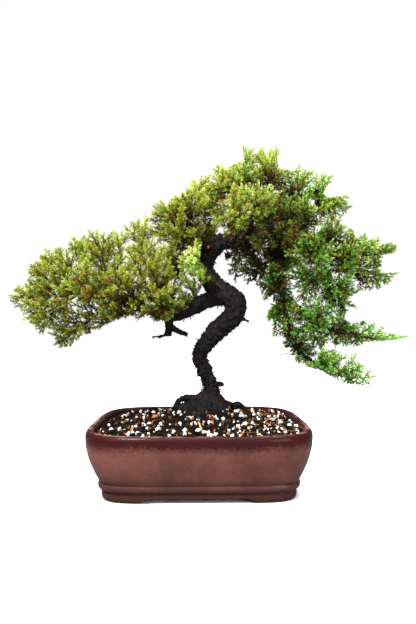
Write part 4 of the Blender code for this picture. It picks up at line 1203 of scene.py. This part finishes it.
def lay_old_twigs():
    """(points with radius, tone) of thin dry twigs that wander out of the limbs, most of them downward,
    some with a fork."""
    draws = np.random.default_rng(SEED + 7)
    limbs = limb_paths(LIMB_BEADS)
    weights = np.array([len(path) * (DENSER if path[:, 0].mean() > DENSER_FROM else 1.0) for path in limbs])
    found = []
    for number in draws.choice(len(limbs), BARE_TWIGS, p=weights / weights.sum()):
        path = limbs[number]
        root = path[draws.integers(0, len(path) - 4), :3]
        heading = unit(draws.normal(size=3) + [0, 0, -BARE_DOWN])
        length, radius = draws.uniform(*BARE_TWIG_LENGTH), draws.uniform(*BARE_TWIG_RADIUS)
        tone = draws.uniform(0.0, 1.0)
        for _ in range(draws.integers(*FORKS)):
            points = [root]
            for _ in range(BARE_STEPS):
                heading = unit(heading + draws.normal(size=3) * BARE_WANDER)
                points.append(points[-1] + heading * length / BARE_STEPS)
            points = np.array(points)
            radii = np.linspace(radius, radius * BARE_TAPER, TWIG_POINTS)
            if within(PRUNED, seen_from_front(points[TWIG_ENDS])).all() or draws.uniform() < STRAY_TWIGS:
                found.append((np.column_stack([points, radii]), tone))
            root = points[draws.integers(*FORK_ROWS)]
            heading = unit(heading + draws.normal(size=3) * FORK_TURN)
            length, radius = length * FORK_LENGTH, radius * FORK_RADIUS
    return found


# Foliage


def needle(root, heading, outward, length, width):
    """Four corners and four triangles of a pointed needle with a keel."""
    across = np.cross(heading, outward)
    corners = [
        root - across * width / 2,
        root + across * width / 2,
        root + heading * length * KEEL_PLACE + outward * width * KEEL_HEIGHT,
        root + heading * length,
    ]
    return np.array(corners), np.array([[0, 2, 1], [0, 3, 2], [1, 2, 3], [0, 1, 3]])


def shoot_template(draws, length, width, lean, whorls=WHORLS):
    """Corners, triangles and share of the way to the tip of one shoot along z: a stem with whorls of
    three needles, which close over its tip."""
    bend = draws.uniform(-SHOOT_BEND, SHOOT_BEND, 2)
    parts = []
    for whorl in range(whorls):
        share = (whorl + FIRST_WHORL) / whorls
        place = np.array([bend[0] * SHOOT * share**2, bend[1] * SHOOT * share**2, SHOOT * share])
        tilt = math.radians(lean * (1 - TIP_CLOSER * share) + draws.uniform(-NEEDLE_LEANS, NEEDLE_LEANS))
        size = length * (FOOT_LONGER - TIP_SHORTER * share**2) * draws.uniform(*NEEDLE_SIZES)
        for number in range(WHORL_NEEDLES):
            angle = 2 * math.pi * number / WHORL_NEEDLES + whorl * WHORL_TURN
            angle += draws.uniform(-NEEDLE_SWAY, NEEDLE_SWAY)
            out = np.array([math.cos(angle), math.sin(angle), 0.0])
            heading = out * math.sin(tilt) + np.array([0, 0, math.cos(tilt)])
            facing = out * math.cos(tilt) - np.array([0, 0, math.sin(tilt)])
            corners, triangles = needle(place, heading, facing, size, width)
            # painted shade at each needle's foot, and a pale tip that is partly a painted highlight
            shares = np.array(NEEDLE_TONES) + TIP_TONE * share
            parts.append((corners, triangles, shares[:, None]))
    foot = []
    for angle in SHOOT_FOOT_ANGLES:
        foot.append((SHOOT_FOOT * math.cos(angle), SHOOT_FOOT * math.sin(angle), -SHOOT_FOOT))
    corners = np.array(foot + [(bend[0] * SHOOT, bend[1] * SHOOT, SHOOT)])
    triangles = np.array([[0, 2, 1], [0, 1, 3], [1, 2, 3], [2, 0, 3]])
    parts.append((corners, triangles, np.full((len(corners), 1), FOOT_TONE)))
    return gather(parts)


def grow_shoots(templates, places):
    """Copies of the templates at (x, y, z, heading x, y, z, length, spin, side, dead, freshness with painted
    light and shade) places.
    """
    parts = []
    for number, (corners, triangles, shares) in enumerate(templates):
        chosen = places[number :: len(templates)]
        if not len(chosen):
            continue
        heading = chosen[:, 3:6]
        first = unit(np.cross(heading, ASLANT))
        second = np.cross(heading, first)
        spin = chosen[:, 7:8]
        side = first * np.cos(spin) + second * np.sin(spin)
        third = np.cross(heading, side)
        turns = np.stack([side, third, heading], axis=2)
        length = chosen[:, 6] / SHOOT
        wide = SHOOT_WIDE + (1 - SHOOT_WIDE) * length
        stretch = np.column_stack([wide, wide, length])
        shapes = corners[None] * stretch[:, None]
        placed = np.einsum("nij,nkj->nki", turns, shapes) + chosen[:, None, :3]
        count = len(chosen)
        faces = (triangles[None] + (np.arange(count) * len(corners))[:, None, None]).reshape(-1, 3)
        shade = np.ones((count, len(corners), 4))
        shade[:, :, 0] = shares[None, :, 0] + chosen[:, 10:11]
        shade[:, :, 1] = chosen[:, 8:9]
        shade[:, :, 2] = chosen[:, 9:10]
        parts.append((placed.reshape(-1, 3), faces, shade.reshape(-1, 4)))
    return gather(parts)


def spine_of(curve):
    """Points along a spray from its inner twig to where its last shoot starts."""
    start, middle, tip, begins = curve
    last = 1 - LAST_SHOOT * SHOOT / np.linalg.norm(tip - start)
    return bow_points(start, middle, tip, max(INNERMOST, begins - INNER_SHARE), last, SPINE_SPANS)


def sprig_spines():
    """Points along the sprigs that grow straight out of the wood, and the spray each goes with."""
    spines, owners = [], []
    for owner, root, tip in SPRIGS:
        root, tip = np.array(root, float), np.array(tip, float)
        spines.append(bow_points(root, (root + tip) / 2, tip, 0, 1, SPINE_SPANS))
        owners.append(owner - 1)
    return spines, owners


def seen_from_front(points):
    """(x, z) where the lines of sight from the camera to points cross the tree's middle plane."""
    share = -EYE[1] / (points[..., 1] - EYE[1])
    return (EYE + (points - EYE) * share[..., None])[..., [0, 2]]


def within(outline, places):
    """Whether each (x, z) place lies inside an outline."""
    here = np.array(outline, float)
    after = np.roll(here, -1, axis=0)
    x, z = places[..., 0, None], places[..., 1, None]
    crosses = (here[:, 1] > z) != (after[:, 1] > z)
    with np.errstate(divide="ignore", invalid="ignore"):
        meets = here[:, 0] + (z - here[:, 1]) * (after[:, 0] - here[:, 0]) / (after[:, 1] - here[:, 1])
    return (crosses & (x < meets)).sum(axis=-1) % 2 == 1


def try_branchlet(spine, directions, draws):
    """One possible side branchlet of a spray, which stays behind the spray's tip: its points, and its
    share of the way to that tip."""
    ahead, side, third = directions
    share = draws.uniform(0, 1) ** BRANCHLET_OUT
    row = int(share * (len(spine) - 1))
    angle = draws.uniform(0, 2 * math.pi)
    outward = side[row] * math.cos(angle) + third[row] * math.sin(angle)
    lean = BRANCHLET_ANGLE[0] + (BRANCHLET_ANGLE[1] - BRANCHLET_ANGLE[0]) * share
    lean = math.radians(lean + draws.uniform(-BRANCHLET_LEANS, BRANCHLET_LEANS))
    lift = np.array([0, 0, BRANCHLET_LIFT])
    heading = unit(ahead[row] * math.cos(lean) + outward * math.sin(lean) + lift)
    left = np.linalg.norm(spine[-1] - spine[row])
    longest = min(LONGEST_BRANCHLET, BRANCHLET_LEAST + left * BRANCHLET_REACH / math.cos(lean))
    length = longest * draws.uniform(*BRANCHLET_LENGTHS)
    steps = np.linspace(0, 1, TWIG_POINTS)[:, None]
    curl = np.array([0, 0, BRANCHLET_CURL])
    points = spine[row] + heading * length * steps + curl * length * steps**2
    return points, share


def lay_branchlets(curves, draws):
    """(points, share of the way to the tip) of every spray's side branchlets, each laid where it stands
    furthest from all that are there, and last the fillers, laid where the front shows a gap."""
    sprigs, sprig_owners = sprig_spines()
    spines = [spine_of(curve) for curve in curves] + sprigs
    owners = [*range(len(curves)), *sprig_owners]
    directions = [frames(spine) for spine in spines]
    taken = np.vstack([spine[SPINE_TAKEN] for spine in spines])
    found = [[] for _ in curves]
    for owner, spine in zip(owners, spines):
        found[owner].append((spine, 1.0))
    rounds = [([number], CHOICES, 1.0) for _ in range(BRANCHLETS) for number in range(len(curves))]
    rounds += [(range(len(spines)), FILLER_CHOICES, FILLER_DEPTH)] * FILLERS
    for numbers, choices, depth_weight in rounds:
        best = (-1.0, None, None, None)
        flat = seen_from_front(taken[taken[:, 1] < FRONT_LAYER])
        for number in draws.choice(numbers, choices):
            points, share = try_branchlet(spines[number], directions[number], draws)
            ends = points[TWIG_ENDS]
            front = seen_from_front(ends)
            outside = np.any(ends < LOWEST_LEAF + END_ROOM) or np.any(ends > HIGHEST_LEAF - END_ROOM)
            if outside or not within(PRUNED, front).all():
                continue
            apart = np.linalg.norm(ends[:, None] - taken[None], axis=2).min(axis=1).sum()
            apart_in_front = np.linalg.norm(front[:, None] - flat[None], axis=2).min(axis=1).sum()
            score = apart * depth_weight + apart_in_front * FRONT_WEIGHT
            if score > best[0]:
                best = (score, number, points, share)
        if best[1] is not None:
            found[owners[best[1]]].append(best[2:])
            taken = np.vstack([taken, best[2][TWIG_ENDS]])
    return found


def age_and_shade(place, wood):
    """How old and how deep in painted shade the growth at a place is, from 0 to 1: the nearer to the trunk or
    a limb, the more so.
    """
    near = np.min(np.linalg.norm(wood[:, :3] - place, axis=1) - wood[:, 3])
    return math.exp(-((max(near, 0.0) / OLD_REACH) ** 2))


def shoot_places(points, share, side, spray_fresh_and_shade, wood, draws):
    """Rows for grow_shoots, of the shoots along a branchlet and one at its tip."""
    ahead, across, third = frames(points)
    length = np.linalg.norm(np.diff(points, axis=0), axis=1).sum()
    count = max(2, int(length / SHOOT_STEP))
    side = np.clip(side + draws.uniform(-GREEN_SPREAD, GREEN_SPREAD), 0, 1)
    bright = spray_fresh_and_shade + draws.uniform(-FRESH_SPREAD, FRESH_SPREAD)
    rows = []
    for number in range(count + 1):
        along = FIRST_SHOOT + (1 - FIRST_SHOOT) * number / count
        spot = min(along, 1.0) * (len(points) - 1)
        row = min(int(spot), len(points) - 2)
        place = points[row] + (points[row + 1] - points[row]) * (spot - row)
        angle = number * GOLDEN + draws.uniform(-SHOOT_TURNS, SHOOT_TURNS)
        outward = across[row] * math.cos(angle) + third[row] * math.sin(angle)
        lean = 0.0
        if number < count:
            lean = math.radians(SHOOT_ANGLE + draws.uniform(-SHOOT_LEANS, SHOOT_LEANS))
        heading = ahead[row] * math.cos(lean) + outward * math.sin(lean)
        heading = unit(heading + np.array([0, 0, SHOOT_LIFT]) * (number < count))
        size = SHOOT_LENGTH[0] + (SHOOT_LENGTH[1] - SHOOT_LENGTH[0]) * along * draws.uniform(*SHOOT_SIZES)
        buried = (1 - along) * (1 - share)
        old = age_and_shade(place, wood)
        most = DEAD_SHARE + (GREEN_DEAD - DEAD_SHARE) * side
        chance = most * (buried + DEAD_OLD * old + DEAD_BELOW * max(0.0, -heading[2]))
        dead = draws.uniform(*DEAD_TONES) if draws.uniform() < chance else 0.0
        tone = np.clip(side + draws.uniform(-GREEN_VARIES, GREEN_VARIES), 0, 1)
        # painted light: shoots high in the crown and shoots facing up are painted lighter
        high = CROWN_NEW_AND_LIT * np.clip((place[2] - CROWN_FROM) / (CROWN_FULL - CROWN_FROM), 0, 1)
        fresh_light_and_shade = bright + draws.uniform(-FRESH_VARIES, FRESH_VARIES) + high + LIT_FROM_ABOVE * heading[2]
        # painted shade: buried shoots and shoots near thick wood are painted darker, partly as older needles
        fresh_light_and_shade = fresh_light_and_shade - BURIED_AGE_AND_SHADE * buried - OLD_AGE_AND_SHADE * old
        rows.append([*place, *heading, size, draws.uniform(0, SPIN), tone, dead, fresh_light_and_shade])
    return np.array(rows)


def spray_side(tip):
    """How green a spray is: olive at the left and the top, greener to the right and most of all low."""
    across = np.clip((tip[0] - GREEN_FROM) / GREEN_OVER, 0, 1)
    below = np.clip((LOW_FROM - tip[2]) / LOW_OVER, 0, 1) * (tip[0] > LOW_RIGHT)
    return float(GREEN_ACROSS * across + GREEN_LOW * below)


def prune(places):
    """Shortens the shoots that would pass the outline or the box, and drops those that still do."""
    for _ in range(CUTS):
        places[~inside(places), 6] *= SHORTENED
    return places[inside(places)]


def inside(places):
    """Whether the tip of each shoot lies within the outline and the box."""
    tips = places[:, :3] + places[:, 3:6] * places[:, 6:7]
    boxed = np.all((tips > LOWEST_LEAF) & (tips < HIGHEST_LEAF), axis=1)
    return boxed & within(PRUNED, seen_from_front(tips))


def make_old_growth(old_twigs, material, draws):
    """Dark and dead shoots along the old twigs inside the tree."""
    templates = [shoot_template(draws, *OLD_NEEDLE, whorls=OLD_WHORLS) for _ in range(TEMPLATES)]
    rows = []
    for path, _ in old_twigs:
        ahead, side, third = frames(path)
        length = np.linalg.norm(np.diff(path[:, :3], axis=0), axis=1).sum()
        for place in np.arange(OLD_FROM, 1.0, OLD_STEP / length):
            row = int(place * (len(path) - 1))
            angle = draws.uniform(0, 2 * math.pi)
            heading = unit(ahead[row] + side[row] * math.cos(angle) + third[row] * math.sin(angle))
            dead = draws.uniform(*DEAD_TONES) if draws.uniform() < OLD_DEAD else 0.0
            fresh_light_and_shade = draws.uniform(*OLD_FRESH)
            size, spin = draws.uniform(*OLD_LENGTH), draws.uniform(0, SPIN)
            rows.append([*path[row, :3], *heading, size, spin, spray_side(path[row]), dead, fresh_light_and_shade])
    corners, triangles, shades = grow_shoots(templates, prune(np.array(rows)))
    new_piece("leaves_old_growth", corners, triangles, material, shades)


def make_spray(node, side, branchlets, spray_fresh_and_shade, templates, wood, material, draws):
    """One spray: slim stems and the shoots along them, in the place of its solid."""
    parts, rows = [], []
    for points, share in branchlets:
        thick = STEM_RADIUS if share == 1.0 else SIDE_STEM
        path = np.column_stack([points, np.linspace(thick, STEM_END, len(points))])[::2]
        corners, triangles = tube(path, THIN_SIDES)
        parts.append((corners, triangles, np.tile([STEM_TONE, side, STEM_DEAD, 1.0], (len(corners), 1))))
        rows.append(shoot_places(points, share, side, spray_fresh_and_shade, wood, draws))
    parts.append(grow_shoots(templates, prune(np.vstack(rows))))
    corners, triangles, shades = gather(parts)
    name = node.replace("spray", "leaves")
    piece = new_piece(name, corners, triangles, material, shades)
    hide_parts(node)


def make_foliage(curves, old_twigs):
    """Every spray, each in the place of its solid, and the old growth inside."""
    draws = np.random.default_rng(SEED + 6)
    open_shoots = [shoot_template(draws, *OPEN_NEEDLE) for _ in range(TEMPLATES)]
    compact_shoots = [shoot_template(draws, *COMPACT_NEEDLE) for _ in range(TEMPLATES)]
    material = needle_material()
    wood = np.vstack([smooth_path(TRUNK, THICK_STEPS), *limb_paths(THICK_STEPS)])
    wood = wood[wood[:, 3] > THICK_WOOD]
    for number, branchlets in enumerate(lay_branchlets(curves, draws)):
        node = f"spray_{number + 1:02d}_{SPRAYS[number][0]}"
        green = number + 1 >= FIRST_GREEN
        templates = compact_shoots if green else open_shoots
        side = spray_side(curves[number][2]) + GREENER.get(number + 1, 0.0)
        # painted shade, with newer or older growth, set spray by spray
        spray_fresh_and_shade = SPRAY_FRESH_AND_SHADE.get(number + 1, 0.0)
        make_spray(node, side, branchlets, spray_fresh_and_shade, templates, wood, material, draws)
    make_old_growth(old_twigs, material, draws)


# Stage


def make_floor():
    """A white floor, with a painted shadow under the pot."""
    mesh = bpy.data.meshes.new("floor")
    corners = [(x * FLOOR_HALF, y * FLOOR_HALF, 0) for x, y in ((-1, -1), (1, -1), (1, 1), (-1, 1))]
    mesh.from_pydata(corners, [], [(0, 1, 2, 3)])
    floor = bpy.data.objects.new("floor", mesh)
    bpy.context.scene.collection.objects.link(floor)
    mesh.materials.append(floor_material())
    floor.location = MIDDLE * MM - np.array([0, 0, FLOOR_BELOW])
    floor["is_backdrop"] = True


def area_light(name, place, target, size, power):
    """A soft square light aimed at a place."""
    light = bpy.data.lights.new(name, "AREA")
    light.size = size
    light.energy = power
    lamp = bpy.data.objects.new(name, light)
    bpy.context.scene.collection.objects.link(lamp)
    lamp.location = place
    lamp.rotation_euler = (Vector(target) - Vector(place)).to_track_quat("-Z", "Y").to_euler()


def make_light():
    """A white surround, and soft lamps from the front left, from above and, weaker, from the right."""
    world = bpy.data.worlds.new("surround")
    bpy.context.scene.world = world
    world.use_nodes = True
    nodes, links = world.node_tree.nodes, world.node_tree.links
    seen = nodes["Background"]
    seen.inputs["Color"].default_value = (1, 1, 1, 1)
    around = nodes.new("ShaderNodeBackground")
    around.inputs["Color"].default_value = (1, 1, 1, 1)
    around.inputs["Strength"].default_value = SURROUND
    path = nodes.new("ShaderNodeLightPath")
    mixed = nodes.new("ShaderNodeMixShader")
    links.new(path.outputs["Is Camera Ray"], mixed.inputs["Fac"])
    links.new(around.outputs["Background"], mixed.inputs[1])
    links.new(seen.outputs["Background"], mixed.inputs[2])
    links.new(mixed.outputs["Shader"], nodes["World Output"].inputs["Surface"])
    for lamp in LAMPS:
        area_light(*lamp)
    bpy.context.scene.view_settings.view_transform = "Standard"


def make_camera():
    """The camera, in front of the tree, aimed a little up and turned a little."""
    camera = bpy.data.cameras.new("camera")
    camera.sensor_fit = "VERTICAL"
    camera.sensor_height = SENSOR
    camera.lens = SENSOR * LENS_PIXELS / PICTURE_HEIGHT
    eye = bpy.data.objects.new("camera", camera)
    bpy.context.scene.collection.objects.link(eye)
    cosine, sine = math.cos(TURN), math.sin(TURN)
    eye.location = (EYE + MIDDLE) * MM
    ahead = Vector((-math.cos(PITCH) * sine, math.cos(PITCH) * cosine, math.sin(PITCH)))
    eye.rotation_euler = ahead.to_track_quat("-Z", "Y").to_euler()
    bpy.context.scene.camera = eye


def write_size():
    """Works out the solids' box and the finished model's box as plain lists, which are not kept."""
    boxes = {"cad": CAD_BOX, "visual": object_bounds()}
    plain = {name: [list(map(float, corner)) for corner in box] for name, box in boxes.items()}


def main():
    """Makes the stage, then the pieces from the pot up."""
    make_camera()
    make_floor()
    make_light()
    make_pot()
    for name in ("screen_left", "screen_right"):
        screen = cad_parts[name]
        screen.data.materials.clear()
        screen.data.materials.append(screen_material())
    make_soil()
    curves = lay_leaders()
    old_twigs = lay_old_twigs()
    make_wood()
    make_scars()
    make_twigs(curves, old_twigs)
    make_foliage(curves, old_twigs)
    write_size()


main()
